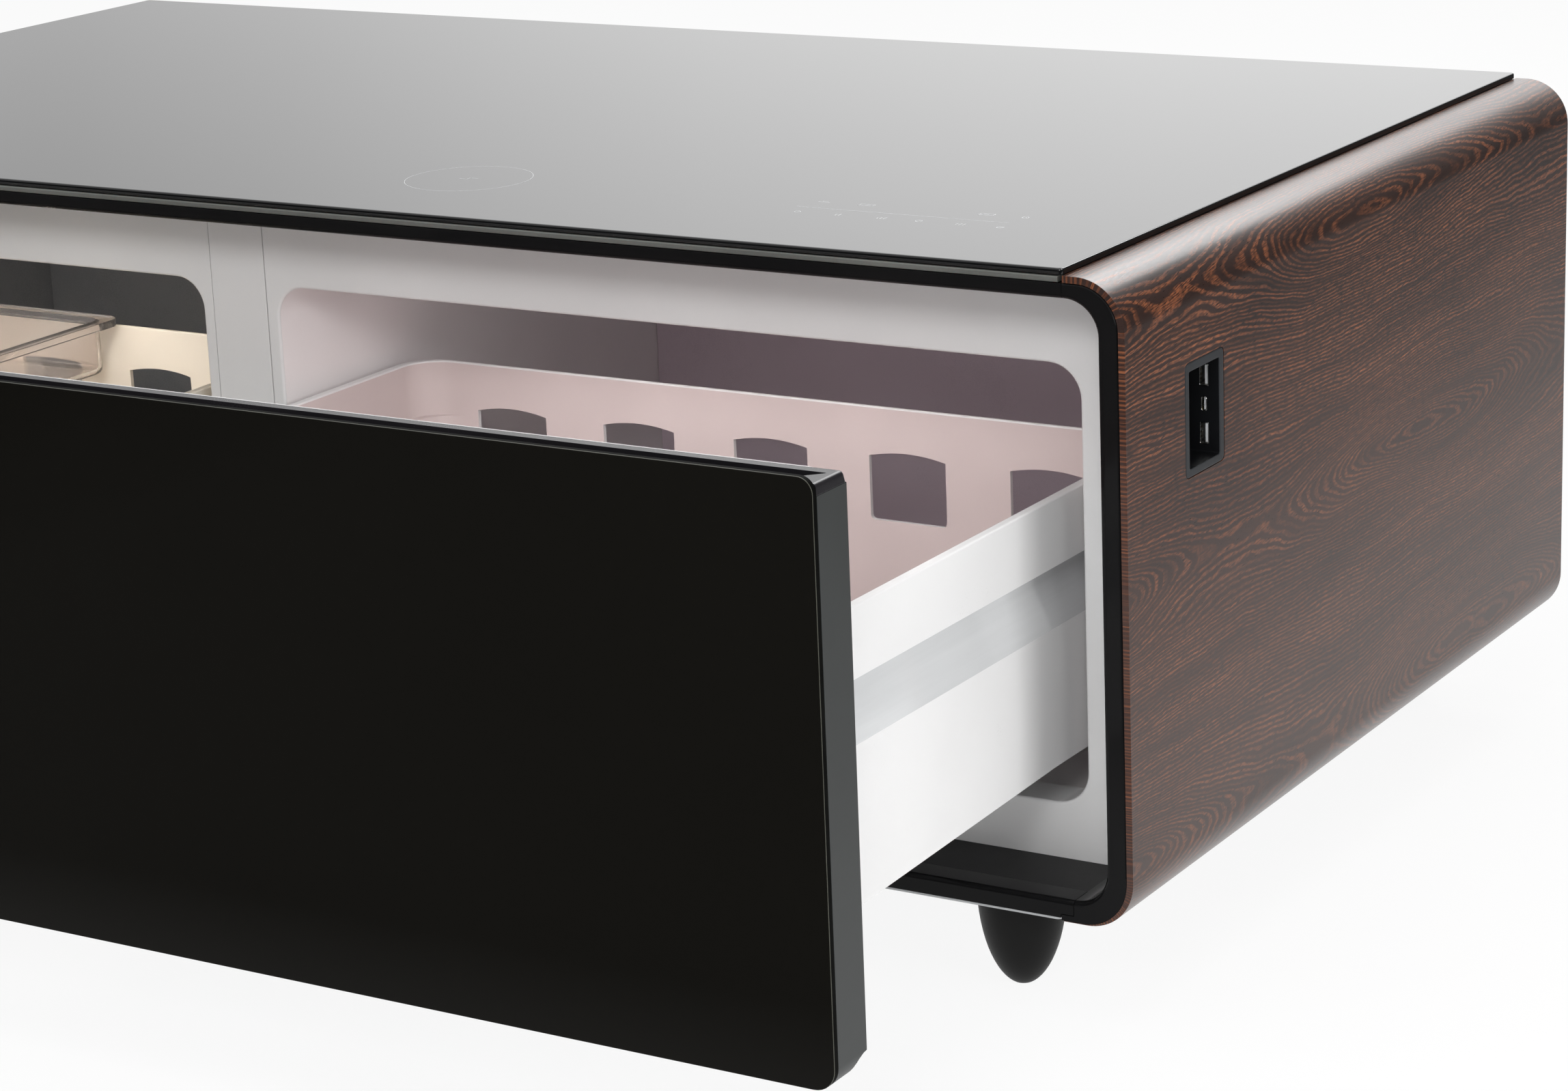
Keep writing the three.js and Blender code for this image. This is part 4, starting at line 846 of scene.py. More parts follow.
def makeRearCover(side):
    size = rearCover
    node = "evaporator_cover_" + side
    low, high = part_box(node)
    cover = addRounded("cold_cover_" + side, low, high, "y", size["cornerRadius"], 8)
    middle = (low.x + high.x) / 2
    span = high.x - low.x + 0.0006 - 0.042
    count = int((span - size["slotLength"]) / size["slotPitch"]) + 1
    slotLow = tub["mouthHigh"] - size["slotDrop"] - size["slotHeight"]
    for index in range(count):
        x = middle + (index - (count - 1) / 2) * size["slotPitch"]
        cutSlot(cover, low, high, x, slotLow, size["slotLength"], size["slotHeight"])
    parts = [smoothFaces(cover)]
    inset = size["screwInset"]
    half = size["screwHead"] / 2
    for x in (low.x + inset, high.x - inset):
        for z in (low.z + inset, high.z - inset):
            head = addRod("screw", (x, low.y - half, z), size["screwRadius"], size["screwHead"], "y", 24)
            roundEdges(head, where(under={"y": low.y - 0.001}), 0.0006, 3)
            parts.append(smoothFaces(head))
    cover = joinPieces("cold_cover_" + side, parts)
    seatPiece(cover, "cabinet", "dark_cover", rooms[side]["cover"], node, smooth=None)


lampShape = {"edgeRound": 0.0012, "rim": 0.0012, "recess": 0.0006}


def makeLamp(side):
    low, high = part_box("lamp_" + side)
    lamp = addBlock("cold_lamp_" + side, low, high)
    roundEdges(lamp, where(under={"z": low.z + tiny}), lampShape["edgeRound"], 3)
    openEdit(lamp, "FACE", lambda centre, normal: normal.z < -0.9)
    bpy.ops.mesh.inset(thickness=lampShape["rim"])
    extrude(0, 0, lampShape["recess"])
    closeEdit()
    seatPiece(lamp, "cabinet", "diffuser", side + "Lamp", "lamp_" + side)


for sideName in rooms:
    makeRearCover(sideName)
    makeLamp(sideName)
print("rear covers and lamps placed")


# Bins: band at the top, slanted channel under it, plain lower panel, slots in the rear wall
binShape = {
    "wall": 0.003, "floor": 0.0035, "rim": 0.006, "doubleWall": 0.013, "band": 0.0407, "channel": 0.038,
    "channelInset": 0.01, "lowerInset": 0.002, "skirtWall": 0.003, "skirtDrop": 0.0077, "skirtLength": 0.286,
    "cornerRadius": 0.024, "ledge": 0.003, "slotPitch": 0.1016, "slotLength": 0.0555, "slotHeight": 0.0455,
    "slotDrop": 0.0292, "slotCrown": 0.0034, "rimRound": 0.0012, "floorFillet": 0.009,
}
binLooks = {
    "right": {"insideTone": "rightBinShadedInside", "slot": "white_plastic", "shift": -0.0028},
    "left": {"insideTone": "leftBinShell", "slot": "cream_plastic", "shift": 0.008},
}


def makeBin(side):
    node = "bin_" + side
    low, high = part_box(node)
    size = binShape
    look = binLooks[side]
    inset = size["channelInset"]
    channelTop = high.z - size["band"]
    channelLow = channelTop - size["channel"]
    piece = addBlock("drawer_bin_" + side, (low.x + inset, low.y, low.z), (high.x - inset, high.y, high.z))
    openEdit(piece, "FACE")
    for z in (channelTop, channelLow):
        splitAt((0, 0, z), (0, 0, 1))
    for way in (-1, 1):
        selectMesh("DESELECT")
        pick(piece, "FACE", lambda centre, normal: normal.x * way > 0.9 and centre.z > channelTop)
        extrude(way * inset, 0, 0)
        bpy.ops.mesh.select_mode(type="VERT")
        selectMesh("DESELECT")
        edgeX = high.x - inset if way > 0 else low.x + inset
        pick(piece, "VERT", lambda point: abs(point.x - edgeX) < tiny and point.z < channelLow + tiny)
        movePoints(way * (inset - size["lowerInset"]), 0, 0)
        bpy.ops.mesh.select_mode(type="FACE")
    closeEdit()
    for way in (-1, 1):
        outer = high.x - size["lowerInset"] if way > 0 else low.x + size["lowerInset"]
        first = (outer - way * size["skirtWall"], low.y, low.z - 0.0001)
        skirt = addBlock("skirt", first, (outer, low.y + size["skirtLength"], low.z + 0.002))
        openEdit(skirt, "VERT", lambda point: point.y < low.y + tiny and point.z < low.z)
        movePoints(0, 0, -size["skirtDrop"])
        closeEdit()
        unite(piece, skirt)
    plan = addBlock("plan", (low.x, low.y - past, low.z - past), (high.x, high.y, high.z + past))
    roundEdges(plan, where("z", over={"y": high.y - tiny}), size["cornerRadius"] + size["wall"], 10)
    combine(piece, [plan], "INTERSECT")

    # Room inside: wide over the ledge, narrower under it
    ledge = channelTop + size["ledge"]
    front = low.y + size["wall"]
    back = high.y - size["wall"]
    floorZ = low.z + size["floor"]

    def room(name, aside, bottom, top):
        first = (low.x + aside, front, bottom)
        return addRounded(name, first, (high.x - aside, back, top), "z", size["cornerRadius"], 8)

    upper = room("upper", size["rim"], ledge, high.z + past)
    lower = room("lower", size["doubleWall"], floorZ, ledge + 0.005)
    roundEdges(lower, where(z=floorZ), size["floorFillet"], 5)
    cutAway(piece, upper, lower)

    # Rear slots with an arched top edge
    centreX = (low.x + high.x) / 2 + look["shift"]
    span = high.x - low.x - 2 * size["doubleWall"]
    count = int((span - size["slotLength"]) / size["slotPitch"]) + 1
    half = size["slotLength"] / 2
    slotTop = high.z - size["slotDrop"]
    crown = (half * half + size["slotCrown"] ** 2) / (2 * size["slotCrown"])
    for index in range(count):
        x = centreX + (index - (count - 1) / 2) * size["slotPitch"]
        first = (x - half, back - past, slotTop - size["slotHeight"])
        slot = addRounded("slot", first, (x + half, high.y + past, slotTop), "y", 0.003, 3)
        arch = addRod("arch", (x, high.y, slotTop - crown), crown, 0.06, "y", 160)
        cutAway(piece, combine(slot, [arch], "INTERSECT"))

    def onRim(centre, direction):
        return abs(centre.z - high.z) < tiny and abs(centre.y - low.y) >= tiny

    roundEdges(piece, onRim, size["rimRound"], 4)
    softenEdges(piece, 0.0005, 2, 50)
    seatPiece(piece, "drawer", look["slot"], side + "BinShell", node, smooth=32)
    middle = Vector((centreX, (front + back) / 2, high.z))

    # Inward faces take the inside tone, which on the right bin is painted shade; the channel's outer faces
    # take the pearl finish
    def binKind(centre, normal):
        inwards = (middle - centre).dot(normal) > 0
        within = low.x + size["rim"] - tiny < centre.x < high.x - size["rim"] + tiny
        if inwards and within and front - tiny < centre.y < back + tiny and centre.z < high.z - 0.002:
            return 2
        outside = centre.x > high.x - inset - 0.001 or centre.x < low.x + inset + 0.001
        inChannel = channelLow + 0.001 < centre.z < channelTop - 0.001
        return outside and inChannel and abs(normal.x) > 0.7 and (centre.x - centreX) * normal.x > 0

    paint(piece, ["channelPearl", look["insideTone"]], binKind)


for sideName in rooms:
    makeBin(sideName)
print("bins moulded")


# Clear tray that hangs on the left bin's rims
clearTray = {
    "wall": 0.0025, "lip": 0.0085, "lipThickness": 0.0055, "cornerRadius": 0.012, "floorRound": 0.005,
    "edgeRound": 0.0007,
}


def makeClearTray():
    size = clearTray
    low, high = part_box("clear_tray")
    radius = size["cornerRadius"]
    floorZ = low.z + size["wall"]
    inset = size["lip"]
    wall = size["wall"] + inset
    tray = addRounded("acrylic_tray", (low.x, low.y, high.z - size["lipThickness"]), high, "z", radius, 8)
    second = (high.x - inset, high.y - inset, high.z - 0.001)
    body = addRounded("body", (low.x + inset, low.y + inset, low.z), second, "z", radius, 8)
    roundEdges(body, where(z=low.z), size["floorRound"], 4)
    unite(tray, body)
    second = (high.x - wall, high.y - wall, high.z + past)
    first = (low.x + wall, low.y + wall, floorZ)
    hollow = addRounded("hollow", first, second, "z", radius - size["wall"], 8)
    roundEdges(hollow, where(z=floorZ), size["floorRound"] - 0.001, 4)
    cutAway(tray, hollow)
    softenEdges(tray, size["edgeRound"], 2, 50)
    seatPiece(tray, "sliding_tray", "clear_plastic", "clearAcrylic", "clear_tray", smooth=32)


makeClearTray()
print("clear tray made")


# Drawer front: glass, frame with finger groove, inner panel
drawerFront = {
    "topRadius": 0.009, "lowRadius": 0.013, "glassBevel": 0.0006, "capRadius": 0.0025, "capHeight": 0.0061,
    "capInset": 0.0003, "ledgeBevel": 0.0005,
    "grooveFront": 0.003, "grooveBack": 0.0196, "grooveInset": 0.0047,
    "grooveSlant": 0.0166, "grooveDepth": 0.0182, "grooveCorner": 0.002, "grooveRound": 0.003, "cove": 0.012,
    "backRound": 0.003, "innerRadius": 0.015, "innerRound": 0.004,
}


def makeDoorGlass():
    size = drawerFront
    low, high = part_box("door_glass")
    glass = addBlock("door_glass_sheet", low, high)
    roundEdges(glass, where("y", over={"z": high.z - tiny}), size["topRadius"], 8)
    roundEdges(glass, where("y", under={"z": low.z + tiny}), size["lowRadius"], 8)
    roundEdges(glass, where(across="y", y=low.y), size["glassBevel"], 2)
    softenEdges(glass, 0.0002, 1, 60)
    seatPiece(glass, "drawer", "black_glass", "doorGlass", "door_glass", smooth=30)

    def glassKind(centre, normal):
        return 2 if abs(normal.y) < 0.12 else -0.9 < normal.y < 0

    paint(glass, ["groundGlassEdge", "paintedGlassEdge"], glassKind)


def makeDoorCap(low, high):
    size = drawerFront
    inset = size["capInset"]
    first = (low.x + inset, low.y, high.z - size["capHeight"] - 0.003)
    cap = addBlock("cap", first, (high.x - inset, high.y - inset, high.z))
    roundEdges(cap, where("x", over={"y": low.y + 0.01, "z": high.z - tiny}), size["backRound"], 5)
    reach = high.x - inset
    bend = high.z - size["backRound"]

    def onSideTop(centre, direction):
        upright = abs(direction.z) > 0.9 and centre.z < bend
        return abs(abs(centre.x) - reach) < tiny and centre.z > bend - tiny and not upright

    return roundEdges(cap, onSideTop, size["capRadius"], 5)


def makeDoorFrame():
    size = drawerFront
    low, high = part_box("door_frame")
    seamZ = high.z - size["capHeight"]
    body = addBlock("door_body", low, (high.x, high.y, seamZ))
    roundEdges(body, where("y", under={"z": low.z + tiny}), size["lowRadius"], 8)
    roundEdges(body, where(over={"y": low.y + tiny}, z=seamZ), size["ledgeBevel"], 2)
    unite(body, makeDoorCap(low, high))
    front = low.y + size["grooveFront"]
    back = low.y + size["grooveBack"]
    bottom = high.z - size["grooveDepth"]
    end = high.x - size["grooveInset"]
    groove = addBlock("groove", (-end, front, bottom), (end, back, high.z + past))
    for way in (-1, 1):
        openEdit(groove, "VERT", lambda point: point.x * way > 0 and point.y < front + tiny)
        movePoints(-way * size["grooveSlant"], 0, 0)
        closeEdit()
    roundEdges(groove, where("z"), size["grooveCorner"], 3)
    roundEdges(groove, where(under={"z": bottom + tiny}), size["grooveRound"], 4)
    cove = addRod("cove", (0, high.y, low.z), size["cove"], high.x - low.x + 2 * past, "x", 48)
    cutAway(body, groove, cove)
    softenEdges(body, 0.0003, 2, 50)
    seatPiece(body, "drawer", "charcoal_plastic", "charcoalFrame", "door_frame", smooth=32)

    def isCap(centre, normal):
        inGroove = front - tiny < centre.y < back + tiny and centre.z > bottom - tiny
        return centre.z > seamZ + 0.00005 or inGroove

    paint(body, ["capBlack"], isCap)


def makeDoorInner():
    low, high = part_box("door_inner")
    panel = addRounded("door_lining", low, high, "y", drawerFront["innerRadius"], 8)
    roundEdges(panel, where(across="y", y=high.y), drawerFront["innerRound"], 5)
    seatPiece(panel, "drawer", "white_plastic", "whiteFlange", "door_inner")


makeDoorGlass()
makeDoorFrame()
makeDoorInner()
print("drawer front built")


# Gaskets: a folded rubber ring round each mouth
gasketShape = {"outerRadius": 0.035, "width": 0.01, "fold": 0.0022, "foldWidth": 0.0012, "edgeRound": 0.0005}


def cutFrame(name, low, high, front, back, trim):
    radius = gasketShape["outerRadius"]
    edge = gasketShape["width"] - trim

    def ring(inset, start, end):
        first = (low.x + inset, start, low.z + inset)
        return addRounded(name, first, (high.x - inset, end, high.z - inset), "y", radius - inset)

    outer = ring(trim, front, back)
    outer = cutAway(outer, ring(edge, front - past, back + past))
    outer.name = name
    return outer


def makeGasket(side):
    size = gasketShape
    node = "gasket_" + side
    low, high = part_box(node)
    foldStart = low.y + size["fold"]
    ring = cutFrame("gasket_ring_" + side, low, high, low.y, high.y, 0)
    fold = cutFrame("fold", low, high, foldStart, foldStart + size["foldWidth"], -0.001)
    core = cutFrame("core", low, high, low.y + 0.001, low.y + 0.005, size["fold"])
    cutAway(ring, cutAway(fold, core))
    softenEdges(ring, size["edgeRound"], 2, 40)
    seatPiece(ring, "drawer", "grey_rubber", "gasketRubber", node, smooth=40)


for sideName in rooms:
    makeGasket(sideName)
print("gaskets folded")


# Charging module: bezel, pocket and the three sockets
module = {
    "bezelFront": 0.0055, "bezelLow": 0.0048, "bezelThickness": 0.0043, "bezelRound": 0.0007,
    "pocketWidth": 0.04, "pocketHeight": 0.0575, "pocketDepth": 0.026, "cornerRadius": 0.004,
    "pocketRound": 0.0012, "portGap": 0.0003, "lipRound": 0.0005,
}
largeSocket = {
    "port": 0.0006, "radius": 0.0006, "wall": 0.00035, "tongue": 0.0019, "shift": 0.0012, "contacts": 4,
}
smallSocket = {"port": 0.0018, "radius": 0.0017, "wall": 0.0003, "tongue": 0.0007, "shift": 0, "contacts": 6}
socketShapes = {"usb_a_upper": largeSocket, "usb_c": smallSocket, "usb_a_lower": largeSocket}


def makeModule():
    size = module
    low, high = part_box("charging_module")
    outer = high.x
    bezelX = outer - size["bezelThickness"]
    body = addBlock("charging_unit", low, (bezelX, high.y, high.z))
    second = (outer, low.y + woodPanel["holeLength"], high.z)
    bezel = addRounded("bezel", (bezelX - 0.001, low.y, low.z), second, "x", size["cornerRadius"], 6)
    unite(body, roundEdges(bezel, where(x=outer), size["bezelRound"], 3))
    front = low.y + size["bezelFront"]
    bottom = low.z + size["bezelLow"]
    back = front + size["pocketWidth"]
    second = (outer + past, back, bottom + size["pocketHeight"])
    first = (outer - size["pocketDepth"], front, bottom)
    cutAway(body, addRounded("pocket", first, second, "x", size["pocketRound"], 3))
    for node, look in socketShapes.items():
        portLow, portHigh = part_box(node)
        gap = Vector([size["portGap"]] * 3)
        start = portLow - gap
        start.y = portLow.y - past
        cutAway(body, addRounded("port", start, portHigh + gap, "y", look["port"], 4))

    def onLip(centre, direction):
        return abs(centre.x - outer) < tiny and front - tiny < centre.y < back + tiny

    roundEdges(body, onLip, size["lipRound"], 2)
    seatPiece(body, "cabinet", "charcoal_plastic", "moduleGrey", "charging_module")
    paint(body, ["pocketBlack"], lambda centre, normal: centre.x < outer - 0.001)


def makeSocket(node):
    size = socketShapes[node]
    low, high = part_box(node)
    wall = size["wall"]
    casing = addRounded("socket_" + node, low, high, "y", size["radius"], 5)
    first = (low.x + wall, low.y - past, low.z + wall)
    second = (high.x - wall, high.y - wall, high.z - wall)
    cutAway(casing, addRounded("hollow", first, second, "y", size["radius"] * 0.8, 5))
    middle = (low.x + high.x) / 2 + size["shift"]
    left = middle - size["tongue"] / 2
    second = (middle + size["tongue"] / 2, high.y - wall / 2, high.z - 2.4 * wall)
    tongue = addBlock("tongue", (left, low.y + 0.0012, low.z + 2.4 * wall), second)
    parts = [smoothFaces(softenEdges(casing, 0.0001, 1, 50)), smoothFaces(softenEdges(tongue, 0.00015, 1))]
    pitch = (high.z - low.z - 6 * wall) / size["contacts"]
    for index in range(size["contacts"]):
        z = low.z + 3 * wall + pitch * (index + 0.5)
        half = pitch * 0.28
        first = (left - 0.00015, low.y + 0.0022, z - half)
        contact = addBlock("contact", first, (middle, low.y + 0.009, z + half))
        parts.append(softenEdges(contact, 0.00006, 1))
    for kind, part in zip([0, 1] + [2] * size["contacts"], parts):
        paint(part, ["socketSteel", "socketTongue", "goldContact"], lambda centre, normal: kind)
    whole = joinPieces("socket_" + node, parts)
    seatPiece(whole, "cabinet", "zinc_steel", None, node, smooth=None)


makeModule()
for nodeName in socketShapes:
    makeSocket(nodeName)
print("charging module and sockets built")


# Feet: black rubber domes, drawn down ring by ring, one modelled and three copied
footShape = {"radius": 0.027, "height": 0.062, "tip": 0.006, "rings": 16, "sides": 48}


def drawFoot(node):
    size = footShape
    low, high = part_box(node)
    centre = (low + high) / 2
    full = size["height"] / math.sqrt(1 - (size["tip"] / size["radius"]) ** 2)
    name = node.replace("foot", "rubber_foot")
    foot = addDisc(name, (centre.x, centre.y, high.z), size["radius"], size["sides"])
    openEdit(foot, "FACE")
    selectMesh()
    start = size["height"] - high.z
    before = size["radius"]
    depth = start
    for step in range(1, size["rings"] + 1):
        share = math.sin(math.pi / 2 * step / size["rings"])
        reach = start + (size["height"] - start) * share
        radius = size["radius"] * math.sqrt(1 - (reach / full) ** 2)
        extrude(0, 0, depth - reach)
        ratio = radius / before
        middle = (centre.x, centre.y, size["height"] - reach)
        bpy.ops.transform.resize(value=(ratio, ratio, 1), center_override=middle)
        before = radius
        depth = reach
    closeEdit(turnOut=True)
    return seatPiece(foot, "cabinet", "black_plastic", "footRubber", node, smooth=50), centre


firstFoot, firstCentre = drawFoot("foot_front_right")
for nodeName in ("foot_back_right", "foot_front_left", "foot_back_left"):
    footLow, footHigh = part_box(nodeName)
    activate(firstFoot)
    bpy.ops.object.duplicate(linked=False)
    movePoints(*((footLow + footHigh) / 2 - firstCentre))
    nextFoot = settle(bpy.context.active_object, nodeName.replace("foot", "rubber_foot"))
    seatPiece(nextFoot, "cabinet", "black_plastic", None, nodeName, smooth=None)
print("feet drawn")


# Base plate: thin painted sheet with pressed beads
plateShape = {
    "cornerRadius": 0.004, "edgeRound": 0.0004, "beads": (-0.36, -0.12, 0.12, 0.36), "beadReach": 0.07,
    "beadFront": 0.08, "beadWidth": 0.008, "beadDepth": 0.0005, "beadRadius": 0.0039,
}


def makeBasePlate():
    size = plateShape
    low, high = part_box("base_plate")
    plate = addRounded("bottom_sheet", low, high, "z", size["cornerRadius"], 4)
    front = low.y + size["beadFront"]
    for x in size["beads"]:
        first = (x - size["beadReach"], front, low.z - past)
        second = (x + size["beadReach"], front + size["beadWidth"], low.z + size["beadDepth"])
        cutAway(plate, addRounded("bead", first, second, "z", size["beadRadius"], 4))
    roundEdges(plate, where(across="z", z=low.z), size["edgeRound"], 2)
    seatPiece(plate, "cabinet", "painted_steel", "paintedSteel", "base_plate")


makeBasePlate()


# Back panel: dark sheet steel with air slots, inlet hole and screws
backSheet = {
    "cornerRadius": 0.0257, "ventLength": 0.11, "ventHeight": 0.006, "ventPitch": 0.016, "ventLow": 0.122,
    "ventCount": 8, "screw": 0.004, "screwHead": 0.0012, "screwInset": 0.014,
    "screws": (-0.6, -0.3, 0, 0.3, 0.6),
    "edgeRound": 0.0003,
}
inletShape = {
    "rim": 0.004, "rimThickness": 0.0014, "cornerRadius": 0.003, "rimRound": 0.0005, "holeGap": 0.0003,
    "wall": 0.002, "chamfer": 0.0055, "pinPitch": 0.007, "pinLow": 0.004, "pinRise": 0.006,
}


def makeBackPanel():
    size = backSheet
    low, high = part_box("back_panel")
    inletLow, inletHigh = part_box("power_inlet")
    baseLow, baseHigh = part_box("base_plate")
    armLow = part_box("frame_side_right")[0].z
    sheet = addRounded("back_sheet", (low.x, low.y, armLow), high, "y", size["cornerRadius"], 10)
    unite(sheet, addBlock("skirt", (baseLow.x, low.y, low.z), (baseHigh.x, high.y, armLow + 0.02)))
    for groupLow, groupHigh in (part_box("condenser"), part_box("compressor")):
        middle = (groupLow.x + groupHigh.x) / 2
        for row in range(size["ventCount"]):
            z = size["ventLow"] + row * size["ventPitch"]
            cutSlot(sheet, low, high, middle, z, size["ventLength"], size["ventHeight"])
    rim = inletShape["rim"] - inletShape["holeGap"]
    second = (inletHigh.x - rim, high.y + past, inletHigh.z - rim)
    cutAway(sheet, addBlock("hole", (inletLow.x + rim, low.y - past, inletLow.z + rim), second))
    softenEdges(sheet, size["edgeRound"], 1, 60)
    parts = [smoothFaces(sheet)]
    for x in size["screws"]:
        for z in (low.z + size["screwInset"], high.z - size["screwInset"]):
            head = addRod("screw", (x, high.y + 0.0006, z), size["screw"], size["screwHead"], "y", 20)
            second = (x + 0.003, high.y + 0.002, z + 0.0005)
            cutAway(head, addBlock("slot", (x - 0.003, high.y + 0.0007, z - 0.0005), second))
            parts.append(smoothFaces(softenEdges(head, size["edgeRound"], 2, 50)))
    sheet = joinPieces("back_sheet", parts)
    seatPiece(sheet, "cabinet", "dark_steel", "darkPanelSteel", "back_panel", smooth=None)


def makeInlet():
    size = inletShape
    low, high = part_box("power_inlet")
    rim = size["rim"]
    rimFront = high.y - size["rimThickness"]
    middle = (low + high) / 2
    body = addBlock("inlet_socket", (low.x + rim, low.y, low.z + rim), (high.x - rim, high.y, high.z - rim))
    flange = addRounded("flange", (low.x, rimFront, low.z), high, "y", size["cornerRadius"], 5)
    unite(body, roundEdges(flange, where(y=high.y), size["rimRound"], 2))
    inset = rim + size["wall"]
    first = (low.x + inset, low.y + size["wall"], low.z + inset)
    hollow = addBlock("hollow", first, (high.x - inset, high.y + past, high.z - inset))
    cutAway(body, roundEdges(hollow, where("y", over={"z": middle.z}), size["chamfer"], 1))
    parts = [smoothFaces(softenEdges(body, 0.0002, 1, 50))]
    for column in (-1, 0, 1):
        x = middle.x + column * size["pinPitch"]
        z = middle.z - size["pinLow"] + (0 if column else size["pinRise"])
        pin = addBlock("pin", (x - 0.001, low.y + 0.001, z - 0.002), (x + 0.001, rimFront, z + 0.002))
        parts.append(smoothFaces(softenEdges(pin, 0.0004, 2)))
    for part in parts:
        paint(part, ["inletBlack", "socketSteel"], lambda centre, normal: part is not body)
    whole = joinPieces("inlet_socket", parts)
    seatPiece(whole, "cabinet", "black_plastic", None, "power_inlet", smooth=None)


makeBackPanel()
makeInlet()
print("back panel and inlet built")


# CAD nodes whose shape is right keep it and get their finish
keptNodes = {
    "top_tray": "matteBlackTray", "charger_coil": "coilCopper", "touch_board": "boardGreen",
    "insulation": "foamCream", "evaporator_right": "finAluminium", "evaporator_left": "finAluminium",
    "condenser": "finAluminium", "fan_shroud": "footRubber", "fan_rotor": "moduleGrey",
    "compressor": "potEnamel", "drain_pan": "moduleGrey", "control_box": "paleEnamel",
}
for sideName in rooms:
    for position in ("outer", "inner"):
        for kind in ("slide_channel", "slide_beam", "slide_cap"):
            keptNodes[f"{kind}_{sideName}_{position}"] = "zincSteel"
for nodeName, finishName in keptNodes.items():
    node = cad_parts[nodeName]
    node.data.materials.clear()
    node.data.materials.append(finishes[finishName])
print("kept nodes finished:", len(keptNodes))


# Studio: pale floor that keeps the shadow, white world, soft lights. Only glossy rays see the floor's dark
# card before and under the table and the world's ramp from left to right
studio = {
    "floorSize": 40, "floorGlow": 0.9, "floorTones": ((0.84, 0.84, 0.84), (0.86, 0.86, 0.86)),
    "frontGlow": 0.19, "fillLight": 0.5, "backLevel": 0.5, "mirrorLevel": 1.72,
    "ramp": (
        (0.0, 0.42), (0.17, 0.5), (0.19, 0.58), (0.213, 0.7), (0.235, 0.8), (0.257, 0.87), (0.281, 0.93),
        (0.3125, 0.98), (0.44, 0.94), (0.55, 0.76), (0.62, 0.3), (0.67, 0.06), (1.0, 0.04),
    ),
}


def makeFloor():
    clearSelection()
    bpy.ops.mesh.primitive_plane_add(size=studio["floorSize"], location=(0, 0, 0))
    floor = settle(bpy.context.active_object, "studio_floor")
    material, tree, shader = startFinish("floorPaper")
    place = addNode(tree, "TexCoord").outputs["Object"]
    feed(tree, shader, {
        "Base Color": twoTones(tree, noise(tree, place, 30, 4), studio["floorTones"]),
        "Roughness": 0.9,
        "Specular IOR Level": 0,
    })
    x, y = split(tree, place)
    sideways = calc(tree, "ABSOLUTE", x)
    outside = spread(tree, sideways, 0, 1, 0.66, 0.74)
    card = blend(tree, outside, 1, spread(tree, sideways, 0.85, 0.1, 0.85, 1.4))
    mirrored = calc(tree, "MULTIPLY", card, spread(tree, y, studio["frontGlow"], 1, -0.75, -0.45))
    rays = addNode(tree, "LightPath").outputs
    seen = calc(tree, "MAXIMUM", rays["Is Camera Ray"], rays["Is Transmission Ray"])
    glowing = calc(tree, "MULTIPLY", seen, studio["floorGlow"])
    amount = calc(tree, "MAXIMUM", glowing, rays["Is Glossy Ray"])
    level = blend(tree, rays["Is Glossy Ray"], 1, mirrored)
    glow = addNode(tree, "Emission", {"Color": (1, 1, 1, 1), "Strength": level}).outputs["Emission"]
    mix = addNode(tree, "MixShader", {"Fac": amount, 1: shader.outputs["BSDF"], 2: glow})
    feed(tree, tree.nodes["Material Output"], {"Surface": mix.outputs["Shader"]})
    floor.data.materials.append(material)


def makeWorld():
    world = bpy.data.worlds.new("studioWorld")
    bpy.context.scene.world = world
    world.use_nodes = True
    tree = world.node_tree
    tree.nodes.clear()
    x, y = split(tree, addNode(tree, "TexCoord").outputs["Generated"])
    ramp = addNode(tree, "ValToRGB", {"Fac": spread(tree, x, 0, 1, -1, 1)})
    elements = ramp.color_ramp.elements
    for (position, level), element in zip((studio["ramp"][0], studio["ramp"][-1]), list(elements)):
        element.position = position
        element.color = (level, level, level, 1)
    for position, level in studio["ramp"][1:-1]:
        elements.new(position).color = (level, level, level, 1)
    plain = blend(tree, spread(tree, y, 0, 1, -0.1, 0.2), studio["backLevel"], ramp.outputs["Color"])
    mirrored = calc(tree, "MULTIPLY", plain, studio["mirrorLevel"])
    rays = addNode(tree, "LightPath").outputs
    seen = calc(tree, "MAXIMUM", rays["Is Camera Ray"], rays["Is Transmission Ray"])
    level = blend(tree, seen, blend(tree, rays["Is Glossy Ray"], studio["fillLight"], mirrored), 1)
    background = addNode(tree, "Background", {"Color": (1, 1, 1, 1), "Strength": level})
    addNode(tree, "OutputWorld", {"Surface": background.outputs["Background"]})


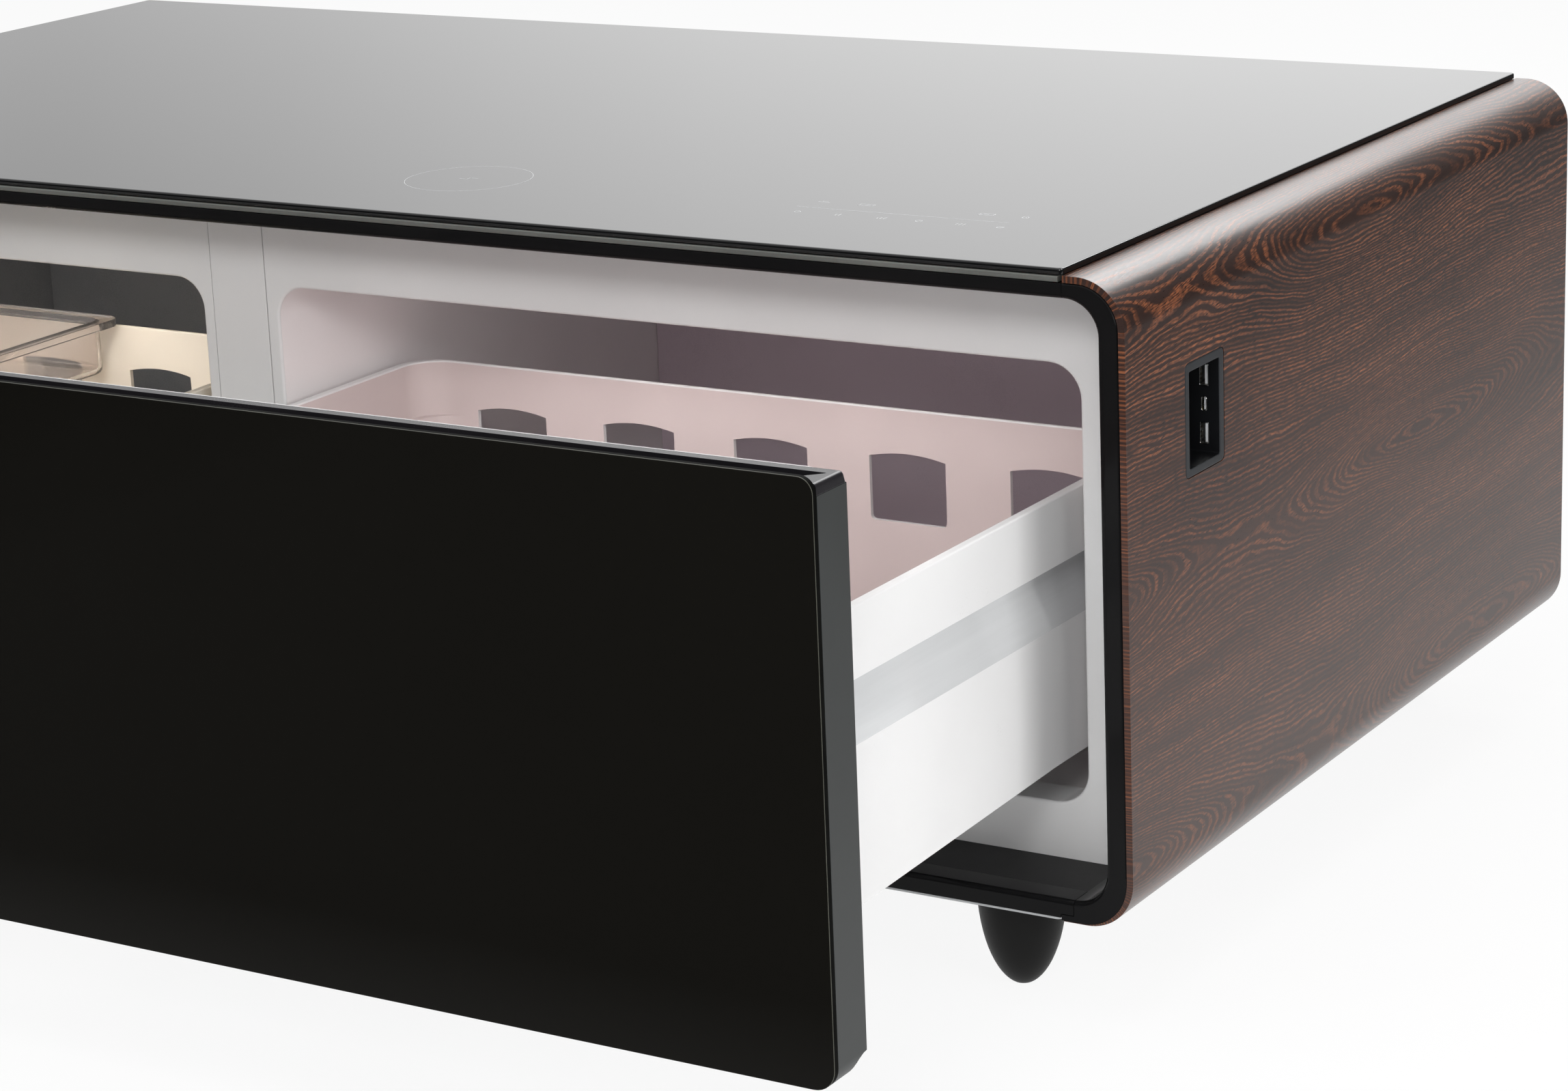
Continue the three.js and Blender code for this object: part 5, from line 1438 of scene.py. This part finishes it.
# A matt lamp doesn't show in reflections
softboxes = {
    "overhead": {"place": (-0.2, -0.5, 3.2), "aim": (0.1, 0, 0.3), "size": (3, 2.2), "power": 50},
    "key": {"place": (3.0, -0.8, 1.1), "aim": (0.6, -0.1, 0.25), "size": (1.4, 1.0), "power": 29},
    "behindRight": {"place": (0.2, 3.2, 2.55), "aim": (0.6, 0, 0.4), "size": (2.0, 1.0), "power": 34},
    "frontFill": {
        "place": (1.3, -3.4, 2.2), "aim": (0, 0, 0.25), "size": (1.6, 0.8), "power": 52, "matt": True,
    },
    "frontLow": {"place": (1.9, -3.0, 0.6), "aim": (0.5, -0.1, 0.15), "size": (0.8, 0.6), "power": 11},
}


def makeLights():
    for name, look in softboxes.items():
        lamp = bpy.data.lights.new(name, "AREA")
        lamp.shape = "RECTANGLE"
        lamp.size, lamp.size_y = look["size"]
        lamp.energy = look["power"]
        holder = bpy.data.objects.new(name, lamp)
        holder.visible_glossy = not look.get("matt")
        bpy.context.scene.collection.objects.link(holder)
        holder.location = look["place"]
        way = Vector(look["aim"]) - Vector(look["place"])
        holder.rotation_euler = way.to_track_quat("-Z", "Y").to_euler()


makeFloor()
makeWorld()
makeLights()
print("studio lit")


# Camera at the photograph's place
viewpoint = {
    "place": (1.60766, -2.09890, 0.91314),
    "right": (0.855004268945116, 0.5171466482338319, -0.039077414271426414),
    "down": (0.11089770298978363, -0.25591336953068927, -0.9603176801283199),
    "forward": (-0.5066255022767973, 0.8167421205717026, -0.276157398826866),
    "lens": 5809.86 / 2296 * 36,
    "sensor": 36,
    "clipEnd": 100,
}


def makeCamera():
    lens = bpy.data.cameras.new("photo_camera")
    lens.lens = viewpoint["lens"]
    lens.sensor_width = viewpoint["sensor"]
    lens.clip_end = viewpoint["clipEnd"]
    camera = bpy.data.objects.new("photo_camera", lens)
    bpy.context.scene.collection.objects.link(camera)
    axes = (Vector(viewpoint["right"]), -Vector(viewpoint["down"]), -Vector(viewpoint["forward"]))
    turn = Matrix(axes).transposed().to_4x4()
    camera.matrix_world = Matrix.Translation(viewpoint["place"]) @ turn
    bpy.context.scene.camera = camera


makeCamera()
bpy.context.scene.view_settings.view_transform = "Standard"
